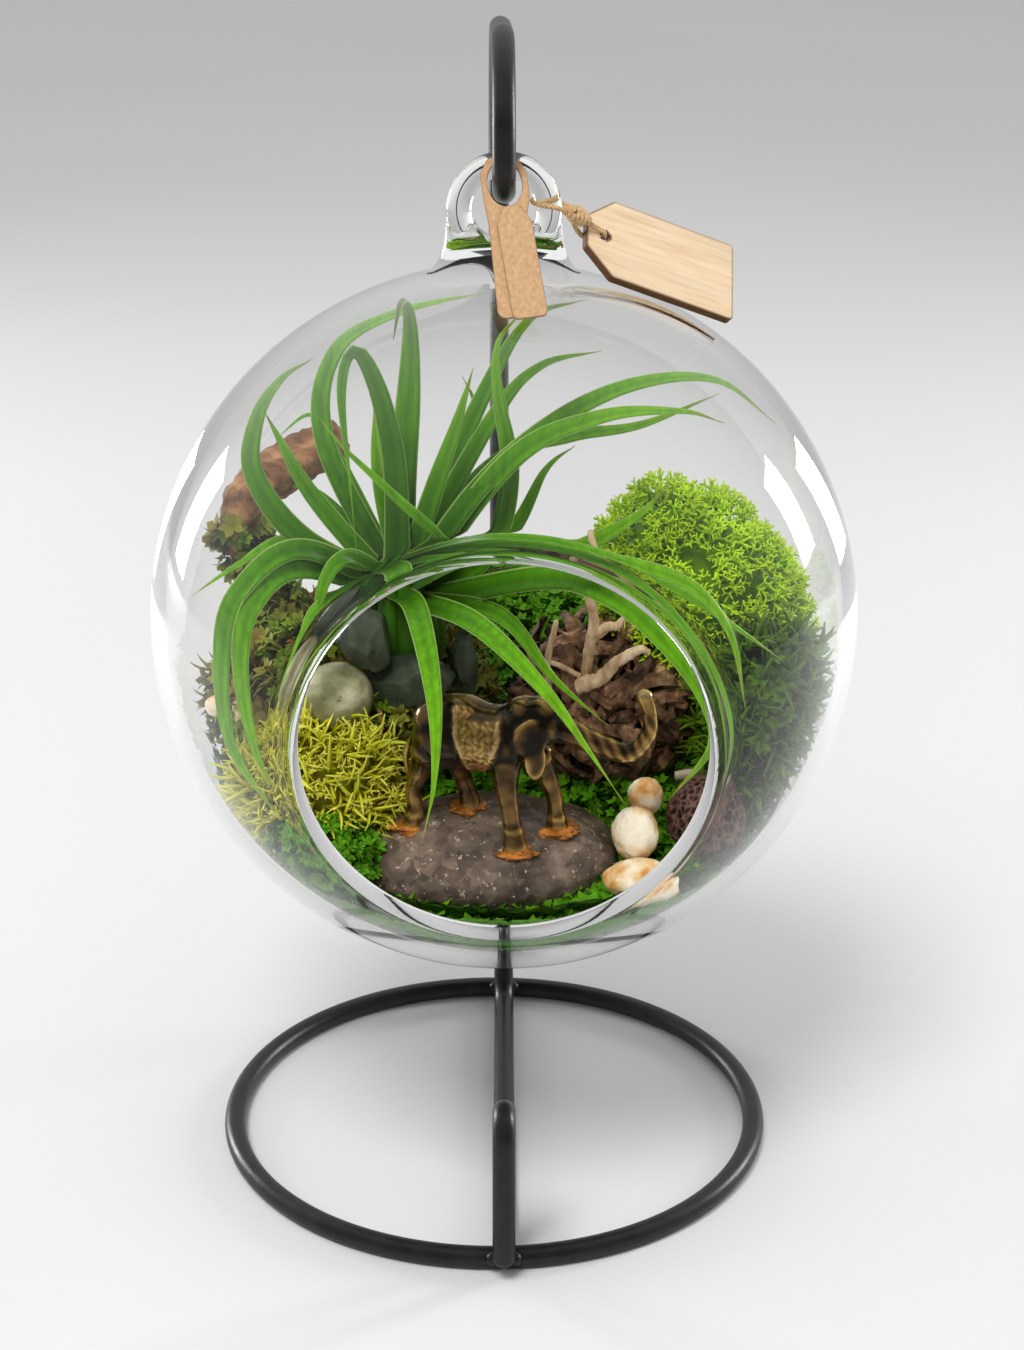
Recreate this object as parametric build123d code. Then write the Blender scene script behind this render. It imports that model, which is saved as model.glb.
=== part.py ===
from build123d import *
import math
import os

# Glass globe, in millimetres and degrees
globe_diameter = 120.0
glass_wall = 2.4
globe_lift = 38.5
opening_diameter = 66.2
opening_dip = 6.0
rim_bead = 2.9
loop_outer_diameter = 18.8
loop_hole_diameter = 10.4
loop_rise = 9.5
neck_base_width = 29.0
neck_base_depth = 26.0

# Wire stand
wire_diameter = 3.8
floor_flat = 0.15
ring_diameter = 95.4
ring_offset = -1.8
foot_loop_height = 29.0
foot_end_height = 2.6
loop_top_flat = 0.15
heel_clearance = 0.4
floor_bend_radius = 6.0
post_gap = 4.6
post_foot_height = 70.0
post_lean = -1.0
post_bend_radius = 30.0
crook_rise = 24.0
crook_back_drop = 4.0
crook_front_radius = 16.0
crook_back_radius = 30.0
hook_reach = 6.5
hook_bend_radius = 5.4
hook_tip_rise = 7.0
weld_bead_diameter = 2.2

# Clearances
hang_gap = 0.15
weld_gap = 0.05
bedding_gap = 0.08
planting_gap = 0.5

# Wooden tag on its twine
tag_length = 28.0
tag_height = 15.2
tag_thickness = 1.6
tag_point_length = 5.0
tag_nose_height = 6.1
tag_corner_radius = 0.9
tag_hole_diameter = 2.0
tag_hole_inset = 3.4
tag_hole_offset = Vector(16.1, 1.4, -4.9)
tag_long_axis = Vector(0.883, 0.288, -0.372)
tag_facing = Vector(0.468, -0.616, 0.634)
twine_diameter = 0.9
knot_diameter = 2.4
knot_offset = Vector(10.8, -1.4, -0.1)

# Folded card label on the hook
label_width = 6.6
label_length = 20.5
label_thickness = 0.45
label_leaf_gap = 0.1
label_lean = 42.5
label_turn = 7.0
label_eye_length = 8.2
label_eye_width = 5.2
label_eye_drop = 0.9
label_strap = 1.3
label_end_radius = 2.0
label_hang_angle = 25.0

# Planting, drawn for a globe with this inside radius
drawn_inside_radius = 57.6
bed_front = Vector(0, -42.0, -41.5)
bed_slope = 19.0
leaf_facing = Vector(0, -0.8, 0.6)
leaf_thickness = 0.9
leaf_tip_width = 0.5
leaf_base_share = 0.8
leaf_widest = 0.36
leaf_fullness = 0.75
leaf_spans = 6
leaf_end_on = 0.35

globe_radius = globe_diameter / 2
inside_radius = globe_radius - glass_wall
globe_centre = Vector(0, 0, globe_lift + globe_radius)
planting_ratio = inside_radius / drawn_inside_radius
planting_radius = inside_radius - planting_gap
loop_hole_radius = loop_hole_diameter / 2
loop_tube_radius = (loop_outer_diameter - loop_hole_diameter) / 4
loop_centre = globe_centre + Vector(0, 0, globe_radius + loop_rise)
wire_radius = wire_diameter / 2
wire_height = wire_radius - floor_flat
ring_radius = ring_diameter / 2
ring_reach = math.sqrt(ring_radius**2 - ring_offset**2)
hook_height = loop_centre.Z + loop_hole_radius - hang_gap - wire_radius
standing_up = (Align.CENTER, Align.CENTER, Align.MIN)


def wire_along(points, bend_radii, radius):
    path = FilletPolyline(*points, radius=bend_radii)
    section = Plane(origin=path @ 0, z_dir=path % 0) * Circle(radius)
    wire = sweep(section, path=path)
    plain_volume = math.pi * radius**2 * path.length
    print("length", round(path.length, 1), "volume over section times length", round(wire.volume / plain_volume, 4))
    return wire


def below_floor():
    return Box(3 * ring_diameter, 3 * ring_diameter, wire_diameter, align=(Align.CENTER, Align.CENTER, Align.MAX))


# Wire stand: a ring on the floor, and one rod bent into foot loop, post, crook and hook
def make_base_ring():
    ring = Pos(ring_offset, 0, wire_height) * Torus(ring_radius, wire_radius)
    return ring - below_floor()


def make_stand_rod():
    leg_spacing = wire_diameter + weld_gap
    front_leg = -ring_reach - leg_spacing
    inner_leg = -ring_reach + leg_spacing
    # The heel stands off the ring so that the leaning post clears it.
    heel = ring_reach - leg_spacing - heel_clearance
    post_reach = globe_radius + post_gap + wire_radius
    crook_top = hook_height + crook_rise
    loop_bend = leg_spacing - loop_top_flat / 2
    points = [
        (0, front_leg, foot_end_height + wire_radius),
        (0, front_leg, foot_loop_height),
        (0, inner_leg, foot_loop_height),
        (0, inner_leg, wire_height),
        (0, heel, wire_height),
        (post_lean, post_reach, post_foot_height),
        (post_lean, post_reach, crook_top - crook_back_drop),
        (0, -hook_reach, crook_top),
        (0, -hook_reach, hook_height),
        (0, hook_reach, hook_height),
        (0, hook_reach, hook_height + hook_tip_rise),
    ]
    bends = [loop_bend, loop_bend, floor_bend_radius, floor_bend_radius, post_bend_radius]
    bends += [crook_back_radius, crook_front_radius, hook_bend_radius, hook_bend_radius]
    rod = wire_along(points, bends, wire_radius)
    for end in (points[0], points[-1]):
        rod += Pos(*end) * Sphere(wire_radius)
    return rod - below_floor()


def make_weld_beads(ring, rod):
    beads = []
    for side in (-wire_radius, wire_radius):
        for seam in (-ring_reach - wire_radius, ring_reach - wire_radius):
            bead = Pos(side, seam, wire_height + wire_radius / 2) * Sphere(weld_bead_diameter / 2)
            beads += (bead - ring - rod).solids()
    return Compound(children=beads)


# Glass: a blown shell with a fire-polished side opening, a drawn neck and a hanging loop
def opening_plane(distance):
    dip = math.radians(opening_dip)
    facing = Vector(0, -math.cos(dip), -math.sin(dip))
    return Plane(origin=globe_centre + facing * distance, x_dir=(1, 0, 0), z_dir=facing)


def make_neck():
    # Height up the neck, then how much of the flare is left in its width and depth.
    flare_steps = [(0.0, 1.0, 1.0), (0.24, 0.62, 0.68), (0.48, 0.24, 0.36), (0.74, 0.05, 0.12), (1.0, 0.0, 0.02)]
    bottom = globe_centre.Z + globe_radius - 2 * glass_wall
    top = loop_centre.Z - loop_tube_radius
    sections = []
    for rise, width_left, depth_left in flare_steps:
        width = loop_outer_diameter + (neck_base_width - loop_outer_diameter) * width_left
        depth = 2 * loop_tube_radius + (neck_base_depth - 2 * loop_tube_radius) * depth_left
        sections.append(Plane.XY.offset(bottom + (top - bottom) * rise) * Ellipse(width / 2, depth / 2))
    return loft(sections)


def make_glass_globe():
    loop_frame = Plane(origin=loop_centre, x_dir=(1, 0, 0), z_dir=(0, -1, 0))
    loop_ring = loop_frame * Torus(loop_hole_radius + loop_tube_radius, loop_tube_radius)
    loop_hole = loop_frame * Cylinder(loop_hole_radius, neck_base_depth)
    rim_radius = opening_diameter / 2
    rim_distance = math.sqrt((globe_radius - glass_wall / 2) ** 2 - rim_radius**2)
    # A cone from the globe's centre cuts the opening square to the wall.
    cone_length = globe_diameter
    cone = opening_plane(0) * Cone(0, cone_length * rim_radius / rim_distance, cone_length, align=standing_up)
    rim = opening_plane(rim_distance) * Torus(rim_radius, rim_bead / 2)
    glass = Pos(*globe_centre) * Sphere(globe_radius) + (make_neck() - loop_hole)
    glass = glass - Pos(*globe_centre) * Sphere(inside_radius) - cone
    return glass + rim + loop_ring


# Shapes for the planting, placed from the globe's centre
def spot(point):
    return globe_centre + Vector(*point) * planting_ratio


def lump(centre, radii, grow=0.0):
    reach = tuple(radius * planting_ratio + grow for radius in radii)
    return Pos(*spot(centre)) * scale(Sphere(1), by=reach)


def limb(points, radii, grow=0.0):
    # Round tapering lengths with a ball at each joint.
    shape = None
    joints = [(spot(point), radius * planting_ratio + grow) for point, radius in zip(points, radii)]
    for (start, start_radius), (end, end_radius) in zip(joints, joints[1:]):
        axis = end - start
        length = axis.length
        shank = Plane(origin=start, z_dir=axis) * Cone(start_radius, end_radius, length, align=standing_up)
        piece = shank + Pos(*start) * Sphere(start_radius) + Pos(*end) * Sphere(end_radius)
        shape = piece if shape is None else shape + piece
    return shape


def inside_globe(shape):
    return shape & Pos(*globe_centre) * Sphere(planting_radius)


# Stones: centre and half sizes
river_stone = ((-2.3, -23.5, -34.5), (22.4, 14.5, 10.2))
round_pebble = ((-28.0, -14.0, -9.5), (6.1, 6.0, 6.0))
lava_stone = ((33.4, -23.4, -27.8), (6.6, 5.6, 8.0))
grey_stones = [
    ((-22.9, -12.6, -0.1), (4.2, 3.6, 4.6)),
    ((-15.5, -10.5, -8.0), (6.6, 4.2, 3.8)),
    ((-6.8, -8.6, -5.6), (2.2, 2.6, 6.0)),
]
cream_pebbles = [
    ((21.5, -29.4, -27.6), (3.9, 3.6, 4.7)),
    ((23.6, -21.5, -24.2), (3.0, 3.0, 3.2)),
    ((22.1, -35.0, -33.2), (6.0, 3.4, 3.5)),
    ((22.8, -31.0, -37.2), (4.2, 2.2, 1.5)),
]
wall_pebbles = [
    ((-49.3, -5.5, -14.5), (2.3, 2.0, 2.0)),
    ((-44.8, -7.5, -14.5), (1.8, 1.9, 2.7)),
]


def lumps(pieces, grow=0.0):
    return [lump(centre, radii, grow) for centre, radii in pieces]


# Mosses: centre and half sizes
left_mound = ((-28.0, 7.0, -18.0), (25.0, 21.0, 15.0))
yellow_moss = ((-31.0, -20.0, -26.0), (14.0, 11.0, 14.5))
front_moss = ((-27.0, -31.0, -33.0), (12.0, 9.0, 7.5))
lime_moss = ((35.0, 12.0, -2.0), (19.0, 16.0, 20.0))
dark_moss = ((46.0, -9.0, -15.0), (12.0, 14.0, 15.0))


def ground(grow=0.0):
    surface = Plane(origin=spot(bed_front)).rotated((bed_slope, 0, 0)).offset(grow)
    return surface * Box(3 * globe_diameter, 3 * globe_diameter, globe_diameter,
                         align=(Align.CENTER, Align.CENTER, Align.MAX))


def make_moss_bed():
    bed = inside_globe(ground())
    for stone in lumps([river_stone, lava_stone] + cream_pebbles, bedding_gap):
        bed -= stone
    return bed


def make_clump(size, neighbours):
    clump = inside_globe(lump(*size) - ground(bedding_gap))
    for neighbour in neighbours:
        clump -= neighbour
    return clump


# Wood: bark heap, twigs and driftwood
bark_core = ((17.0, 4.0, -18.5), (16.0, 14.0, 15.0))
bark_chip = (9.0, 5.0, 3.0)
bark_chip_tip = (20.0, 15.0)
# Bearing and height of each chip on the heap, and its turn.
bark_chips = [
    (-160, 35, 20), (-130, 15, 70), (-115, 55, 10), (-95, 25, 110), (-75, 60, 45), (-60, 18, 80),
    (-45, 45, 150), (-100, 78, 95), (150, 60, 15), (110, 55, 120),
]
twig_main = ([(13.8, -6.0, -11.0), (15.1, -9.0, 2.4), (14.2, -9.0, 18.2)], [1.2, 0.9, 0.55])
twig_fork = ([(15.0, -8.8, -0.5), (19.1, -9.2, 1.6)], [0.8, 0.6])
twig_limb = ([(12.4, -8.4, -9.6), (22.8, -10.0, -2.6)], [1.4, 0.9])
twig_thin = ([(7.6, -4.6, -13.5), (8.9, -7.0, 1.7)], [0.7, 0.5])
driftwood = ([(-36.0, 24.0, -12.0), (-46.0, 15.0, 8.0), (-43.0, 14.0, 19.0), (-29.0, 22.0, 26.0)],
             [3.0, 2.6, 2.3, 1.6])
pale_wood = ([(29.0, -13.5, -24.0), (40.0, -12.5, -24.5)], [1.7, 1.3])


def make_bark_heap():
    centre, radii = bark_core
    heap = lump(*bark_core)
    chip = Box(*(side * planting_ratio for side in bark_chip))
    for bearing, height, turn in bark_chips:
        across = math.cos(math.radians(height))
        outward = (
            across * math.cos(math.radians(bearing)),
            across * math.sin(math.radians(bearing)),
            math.sin(math.radians(height)),
        )
        place = [middle + reach * step for middle, reach, step in zip(centre, radii, outward)]
        seat = Plane(origin=spot(place), z_dir=outward)
        heap += seat * Rot(*bark_chip_tip, turn) * chip
    heap -= ground(bedding_gap)
    for neighbour in [lump(*lime_moss, bedding_gap), limb(*twig_main, bedding_gap),
                      limb(*twig_limb, bedding_gap), limb(*twig_thin, bedding_gap)]:
        heap -= neighbour
    return heap


def make_twigs():
    forked = limb(*twig_main) + limb(*twig_fork) + limb(*twig_limb)
    return Compound(children=[forked, limb(*twig_thin)])


# Bronze elephant standing on the river stone
ear_thickness = 0.8


def make_elephant():
    body = limb([(-9.4, -27.4, -10.8), (0.4, -30.2, -10.0)], [5.9, 5.8])
    body += limb([(2.0, -30.6, -8.8), (6.6, -31.5, -7.4)], [4.8, 3.4])
    for ear_side in (-1, 1):
        ear = Plane(origin=spot((4.4, -31.0 + 3.6 * ear_side, -10.0)), x_dir=(1, 0, 0), z_dir=(0.2, ear_side, 0))
        body += ear * extrude(Ellipse(2.4 * planting_ratio, 5.2 * planting_ratio), ear_thickness, both=True)
    trunk = [(8.5, -31.8, -7.6), (12.3, -32.3, -9.2), (15.4, -32.5, -10.6), (20.2, -33.0, -11.6)]
    trunk += [(23.0, -33.0, -8.6), (23.3, -33.0, -5.2), (22.4, -33.0, -2.1)]
    body += limb(trunk, [2.4, 2.1, 1.8, 1.6, 1.4, 1.2, 1.25])
    body += limb([(0.2, -32.5, -13.0), (0.6, -33.8, -19.0), (1.8, -34.5, -28.1)], [2.6, 1.9, 2.1])
    body += limb([(5.5, -29.0, -14.0), (8.0, -29.5, -20.0), (8.7, -29.3, -26.6)], [2.5, 1.7, 1.9])
    body += limb([(-12.0, -28.5, -13.0), (-14.6, -27.8, -20.5), (-15.1, -27.8, -26.7)], [2.6, 1.6, 1.8])
    body += limb([(-8.0, -25.5, -14.0), (-6.9, -24.5, -19.5), (-5.6, -24.8, -24.5)], [2.6, 1.8, 1.9])
    body += limb([(-13.0, -27.6, -9.5), (-15.9, -26.0, -14.0), (-15.6, -26.0, -19.0)], [0.9, 0.6, 0.5])
    return body - lump(*river_stone, bedding_gap)


def make_glue_dabs(elephant):
    feet = [(1.8, -34.5, -28.4), (8.7, -29.3, -26.9), (-15.1, -27.8, -27.0), (-5.6, -24.8, -24.8)]
    stone = lump(*river_stone, bedding_gap)
    dabs = [lump(foot, (3.6, 3.0, 1.4)) - stone - elephant for foot in feet]
    return Compound(children=[solid for dab in dabs for solid in dab.solids()])


# Air plant: channelled leaves from one bulb, each with its width and its spine
bulb = ((-18.0, -1.0, -1.0), (7.0, 6.5, 12.0))
bulb_levels = (-0.96, -0.7, -0.35, 0.0, 0.35, 0.7, 0.96)
bulb_sides = 12
leaves = [
    (4.6, [(-18, 0, 7), (-17, 3, 25), (-16, 5, 37), (-16, 5, 48), (-16, 3, 53)]),
    (3.8, [(-19, -2, 7), (-23, -4, 31), (-25, -6, 43), (-23, -8, 48), (-21, -10, 44), (-21, -12, 32), (-23, -13, 17)]),
    (3.6, [(-19, 1, 6), (-31, 12, 28), (-29, 15, 43), (-18, 14, 50), (-3, 9, 54)]),
    (4.2, [(-20, -2, 6), (-34, -6, 16), (-41, -7, 27), (-40, -6, 36), (-36, -4, 42), (-31, -2, 45)]),
    (3.4, [(-20, 0, 6), (-33, 6, 20), (-39, 9, 30), (-41, 9, 34)]),
    (3.6, [(-19, -3, 6), (-33, -16, 17), (-42, -22, 12), (-45, -24, 3), (-44, -27, -12), (-36, -31, -24)]),
    (3.8, [(-18, -3, 5), (-33, -17, 14), (-40, -23, 10), (-42, -26, 1), (-40, -29, -12), (-36, -31, -20)]),
    (2.0, [(-20, -1, 6), (-36, 2, 13), (-46, 3, 8), (-54, 2, 3)]),
    (3.0, [(-19, -3, 6), (-30, -20, 8), (-33, -26, -2), (-35, -27, -6)]),
    (3.6, [(-16, -2, 6), (-4, -8, 25), (9, -6, 36), (22, -2, 41), (35, 0, 41), (45, 0, 34)]),
    (4.0, [(-16, -2, 5), (1, -10, 30), (15, -13, 38), (28, -13, 39), (35, -13, 37)]),
    (3.0, [(-16, 0, 7), (-1, 4, 26), (11, 6, 30), (23, 6, 32), (36, 4, 38)]),
    (3.4, [(-17, 1, 7), (-4, 6, 36), (4, 5, 50), (13, 1, 54)]),
    (3.2, [(-17, 0, 7), (-2, 2, 34), (6, 2, 43), (16, 0, 46)]),
    (3.6, [(-16, -2, 5), (-3, -5, 12), (1, -5, 26), (-1, -5, 40), (-1, -4, 48), (3, -3, 53)]),
    (3.0, [(-16, 0, 5), (0, 2, 13), (7, 3, 25), (12, 4, 29)]),
    (4.2, [(-16, -1, 4), (2, -3, 8), (14, -4, 14), (23, -5, 20), (27, -5, 25)]),
    (3.4, [(-17, -3, 6), (-2, -26, 20), (15, -31, 20), (28, -33, 17), (35, -34, 9), (38, -33, -4)]),
    (2.6, [(-16.5, -2, 7), (0, -16, 17), (15, -20, 17), (28, -26, 13), (38, -25, 6), (45, -22, 0)]),
    (4.0, [(-18, -3, 5), (-14, -24, 9), (-11, -37, -1), (-11, -42, -13), (-13, -43, -23)]),
    (3.8, [(-17, -3, 4), (-5, -26, 8), (6, -37, 1), (13, -40, -8), (19, -41, -17)]),
    (3.0, [(-16, -3, 4), (-1, -19, 7), (8, -22, -3), (17, -23, -11)]),
    (4.4, [(-16, -3, 3), (6, -22, 14), (16, -29, 14), (24, -34, 9), (31, -36, 0), (33, -36, -9), (27, -32, -20)]),
]


def leaf_breadth(along):
    # Broadens a little from the base, then a long taper to the tip.
    if along < leaf_widest:
        return leaf_base_share + (1 - leaf_base_share) * along / leaf_widest
    return math.cos(math.pi / 2 * (along - leaf_widest) / (1 - leaf_widest)) ** leaf_fullness


def faceted(rings):
    # A closed skin of flat triangles through rings with the same number of points.
    count = len(rings[0])
    faces = [Face(Wire.make_polygon(ring)) for ring in (rings[0], rings[-1])]
    for near, far in zip(rings, rings[1:]):
        for corner in range(count):
            beside = (corner + 1) % count
            faces.append(Face(Wire.make_polygon([near[corner], near[beside], far[beside]])))
            faces.append(Face(Wire.make_polygon([near[corner], far[beside], far[corner]])))
    return Solid(Shell(faces))


def make_leaf(width, points):
    spine = Spline(*[spot(point) for point in points])
    rings = []
    side = Vector(1, 0, 0)
    for step in range(leaf_spans + 1):
        along = step / leaf_spans
        heading = spine % along
        turned = heading.cross(leaf_facing)
        if turned.length < leaf_end_on:
            turned = side - heading * side.dot(heading)
        side = turned.normalized() * (1 if turned.dot(side) >= 0 else -1)
        outward = side.cross(heading)
        half_width = max(width * leaf_breadth(along), leaf_tip_width) / 2
        half_depth = min(leaf_thickness / 2, half_width)
        middle = spine @ along
        rings.append([
            middle - side * half_width,
            middle - outward * half_depth,
            middle + side * half_width,
            middle + outward * half_depth,
        ])
    return faceted(rings)


def make_bulb():
    centre, radii = bulb
    rings = []
    for height in bulb_levels:
        across = math.sqrt(1 - height**2)
        ring = []
        for step in range(bulb_sides):
            turn = 2 * math.pi * (step + 0.5) / bulb_sides
            outward = (across * math.cos(turn), across * math.sin(turn), height)
            ring.append(spot([middle + reach * move for middle, reach, move in zip(centre, radii, outward)]))
        rings.append(ring)
    return faceted(rings)


def make_air_plant():
    plant = make_bulb()
    for width, points in leaves:
        plant = plant.fuse(make_leaf(width, points))
    return plant


# Wooden tag, lying back on the globe's shoulder
def make_wooden_tag():
    frame = Plane(origin=loop_centre + tag_hole_offset, x_dir=tag_long_axis, z_dir=tag_facing)
    left = -tag_hole_inset
    shoulder = left + tag_point_length
    right = left + tag_length
    corners = [
        (left, -tag_nose_height / 2),
        (shoulder, -tag_height / 2),
        (right, -tag_height / 2),
        (right, tag_height / 2),
        (shoulder, tag_height / 2),
        (left, tag_nose_height / 2),
    ]
    outline = Polygon(*corners, align=None)
    outline = fillet(outline.vertices(), tag_corner_radius)
    face = outline - Circle(tag_hole_diameter / 2)
    return extrude(frame * face, tag_thickness / 2, both=True)


# Twine: through the tag, round the right limb of the glass loop, tied in one knot
twine_route = [
    (10.6, -1.7, 0.2), (14.2, -0.2, -2.6), (16.8, 0.5, -3.95), (15.4, 2.3, -5.85), (12.2, 1.3, -4.5),
    (10.9, -0.6, -1.3), (9.0, -3.1, 0.8), (5.9, -3.0, 1.2), (4.2, -0.4, 1.4), (5.4, 3.1, 1.3),
    (8.8, 3.0, 0.9), (10.6, 0.8, 0.4), (10.9, -1.0, 0.3),
]
bend_share = 0.45


def make_twine():
    points = [loop_centre + Vector(*point) for point in twine_route]
    bends = []
    for before, here, after in zip(points, points[1:], points[2:]):
        run_in = here - before
        run_out = after - here
        half_turn = math.radians(run_in.get_angle(run_out)) / 2
        bends.append(bend_share * min(run_in.length, run_out.length) / math.tan(half_turn))
    print("twine bend radii", [round(bend, 2) for bend in bends])
    return wire_along(points, bends, twine_diameter / 2)


def make_twine_knot():
    return Pos(*(loop_centre + knot_offset)) * Sphere(knot_diameter / 2)


# Card label: two leaves joined along the strap, hanging by their eye on the hook's bend
def make_card_label():
    hang = math.radians(label_hang_angle)
    lean = math.radians(label_lean)
    bend_centre = Vector(0, hook_bend_radius - hook_reach, hook_height + hook_bend_radius)
    pivot = bend_centre - Vector(0, math.cos(hang), math.sin(hang)) * hook_bend_radius
    print("label pivot", [round(value, 3) for value in pivot])
    frame = Plane(origin=pivot, x_dir=(1, 0, 0), z_dir=(0, -math.cos(lean), math.sin(lean)))
    eye_middle = -label_eye_drop
    head_width = label_eye_width + 2 * label_strap
    head_length = label_eye_length + 2 * label_strap
    body_top = eye_middle - label_eye_length / 2
    body_middle = body_top - label_length / 2
    thickness = 2 * label_thickness + label_leaf_gap
    head = Pos(0, eye_middle) * SlotCenterToCenter(head_length - head_width, head_width, rotation=90)
    body = Pos(0, body_middle) * RectangleRounded(label_width, label_length, label_end_radius)
    eye = Pos(0, eye_middle) * SlotCenterToCenter(label_eye_length - label_eye_width, label_eye_width, rotation=90)
    card = extrude(head + body - eye, -thickness)
    slit_length = head_length + label_length
    slit_top = eye_middle + label_eye_length / 2
    slit = Pos(0, slit_top - slit_length / 2, -thickness / 2) * Box(2 * head_width, slit_length, label_leaf_gap)
    return frame * Rot(0, 0, label_turn) * (card - slit)


def main():
    elephant = make_elephant()
    ring = make_base_ring()
    rod = make_stand_rod()
    branch = limb(*driftwood, bedding_gap)
    seated = [round_pebble, bulb] + grey_stones + wall_pebbles
    mound = make_clump(left_mound, lumps(seated, bedding_gap) + [branch])
    yellow = make_clump(yellow_moss, lumps([round_pebble, left_mound, river_stone], bedding_gap))
    front = make_clump(front_moss, lumps([river_stone, yellow_moss], bedding_gap))
    wood = limb(*pale_wood, bedding_gap)
    dark = make_clump(dark_moss, lumps([lime_moss, lava_stone], bedding_gap) + [wood])
    nodes = {
        "base_ring": ring,
        "stand_rod": rod,
        "weld_beads": make_weld_beads(ring, rod),
        "glass_globe": make_glass_globe(),
        "moss_bed": make_moss_bed(),
        "moss_mound_left": mound,
        "reindeer_moss_yellow": yellow,
        "cushion_moss_front": front,
        "reindeer_moss_lime": make_clump(lime_moss, []),
        "fern_moss_right": dark,
        "river_stone": lump(*river_stone),
        "round_pebble": lump(*round_pebble),
        "grey_stones": Compound(children=lumps(grey_stones)),
        "cream_pebbles": Compound(children=lumps(cream_pebbles)),
        "wall_pebbles": Compound(children=lumps(wall_pebbles)),
        "lava_stone": lump(*lava_stone),
        "bark_heap": make_bark_heap(),
        "forked_twigs": make_twigs(),
        "driftwood": limb(*driftwood),
        "pale_wood": limb(*pale_wood),
        "bronze_elephant": elephant,
        "glue_dabs": make_glue_dabs(elephant),
        "air_plant": make_air_plant(),
        "wooden_tag": make_wooden_tag(),
        "tag_twine": make_twine(),
        "twine_knot": make_twine_knot(),
        "card_label": make_card_label(),
    }
    os.makedirs("parts", exist_ok=True)
    for name, shape in nodes.items():
        export_step(shape, f"parts/{name}.step")


main()
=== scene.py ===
import math
import bmesh
import bpy
import numpy as np
from mathutils import Matrix, Vector, noise


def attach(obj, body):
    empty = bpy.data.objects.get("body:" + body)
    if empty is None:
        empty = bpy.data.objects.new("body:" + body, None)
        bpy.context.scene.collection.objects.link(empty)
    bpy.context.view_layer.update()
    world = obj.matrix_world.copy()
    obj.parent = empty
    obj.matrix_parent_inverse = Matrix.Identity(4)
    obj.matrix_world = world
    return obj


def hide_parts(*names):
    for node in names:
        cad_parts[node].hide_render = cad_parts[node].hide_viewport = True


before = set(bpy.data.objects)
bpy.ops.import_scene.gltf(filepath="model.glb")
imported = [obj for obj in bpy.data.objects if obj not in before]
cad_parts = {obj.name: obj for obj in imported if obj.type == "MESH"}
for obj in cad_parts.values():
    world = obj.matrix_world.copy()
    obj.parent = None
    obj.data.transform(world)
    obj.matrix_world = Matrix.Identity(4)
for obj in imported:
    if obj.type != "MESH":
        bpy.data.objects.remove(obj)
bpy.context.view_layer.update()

scene = bpy.context.scene
scene.view_settings.view_transform = "Standard"

# Points are in millimetres; those of the planting are taken from the globe's centre
globeHeight = 98.5
innerWall = 57.6
fullTurn = 2 * math.pi
thirds = (0, fullTurn / 3, 2 * fullTurn / 3)


def fromGlobe(points):
    return np.array(points, float) + (0, 0, globeHeight)


def newObject(name, data):
    made = bpy.data.objects.new(name, data)
    scene.collection.objects.link(made)
    return made


# Camera of the photo, in metres and degrees
cameraLook = {
    "place": (0, -0.3951, 0.2373),
    "pitch": 69.49,
    "lens": 43.43,
    "sensor": 24.0,
    "shift": (8 / 1350, -10 / 1350),
    "nearest": 0.01,
}


def makeCamera(look):
    data = bpy.data.cameras.new("photoCamera")
    data.lens, data.sensor_width = look["lens"], look["sensor"]
    data.shift_x, data.shift_y = look["shift"]
    data.clip_start = look["nearest"]
    camera = newObject("photoCamera", data)
    camera.location = look["place"]
    camera.rotation_euler = (math.radians(look["pitch"]), 0, 0)
    scene.camera = camera


makeCamera(cameraLook)
print("camera placed")


# Material building blocks
def colourOf(value):
    # A number is a grey in linear light, three numbers are an sRGB colour of 0 to 255
    if np.isscalar(value):
        return (value, value, value, 1.0)
    parts = [channel / 255 for channel in value]
    return tuple(c / 12.92 if c < 0.04045 else ((c + 0.055) / 1.055) ** 2.4 for c in parts) + (1.0,)


def fill(tree, socket, value):
    if isinstance(value, bpy.types.NodeSocket):
        tree.links.new(value, socket)
    else:
        socket.default_value = value


def fillAll(tree, node, sockets):
    for name, value in sockets.items():
        fill(tree, node.inputs[name.replace("_", " ")], value)


def put(tree, kind, settings=None, **sockets):
    node = tree.nodes.new(kind)
    for name, value in (settings or {}).items():
        setattr(node, name, value)
    fillAll(tree, node, sockets)
    return node


def newMaterial(name):
    material = bpy.data.materials.new(name)
    material.use_nodes = True
    tree = material.node_tree
    tree.nodes.clear()
    output = tree.nodes.new("ShaderNodeOutputMaterial")
    shader = tree.nodes.new("ShaderNodeBsdfPrincipled")
    tree.links.new(shader.outputs[0], output.inputs["Surface"])
    return material, tree, shader


def finish(tree, shader, bump=None, **sockets):
    # Fills the shader; bump is a height and its depth in metres
    fillAll(tree, shader, sockets)
    if bump:
        relief = put(tree, "ShaderNodeBump", Height=bump[0], Distance=bump[1])
        fill(tree, shader.inputs["Normal"], relief.outputs["Normal"])


def objectPlace(tree):
    return put(tree, "ShaderNodeTexCoord").outputs["Object"]


def grain(tree, scale, detail=4.0, stretch=(1, 1, 1), harshness=0.55):
    mapping = put(tree, "ShaderNodeMapping", Vector=objectPlace(tree), Scale=stretch)
    return put(tree, "ShaderNodeTexNoise", Vector=mapping.outputs[0], Scale=scale, Detail=detail,
               Roughness=harshness).outputs[0]


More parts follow.
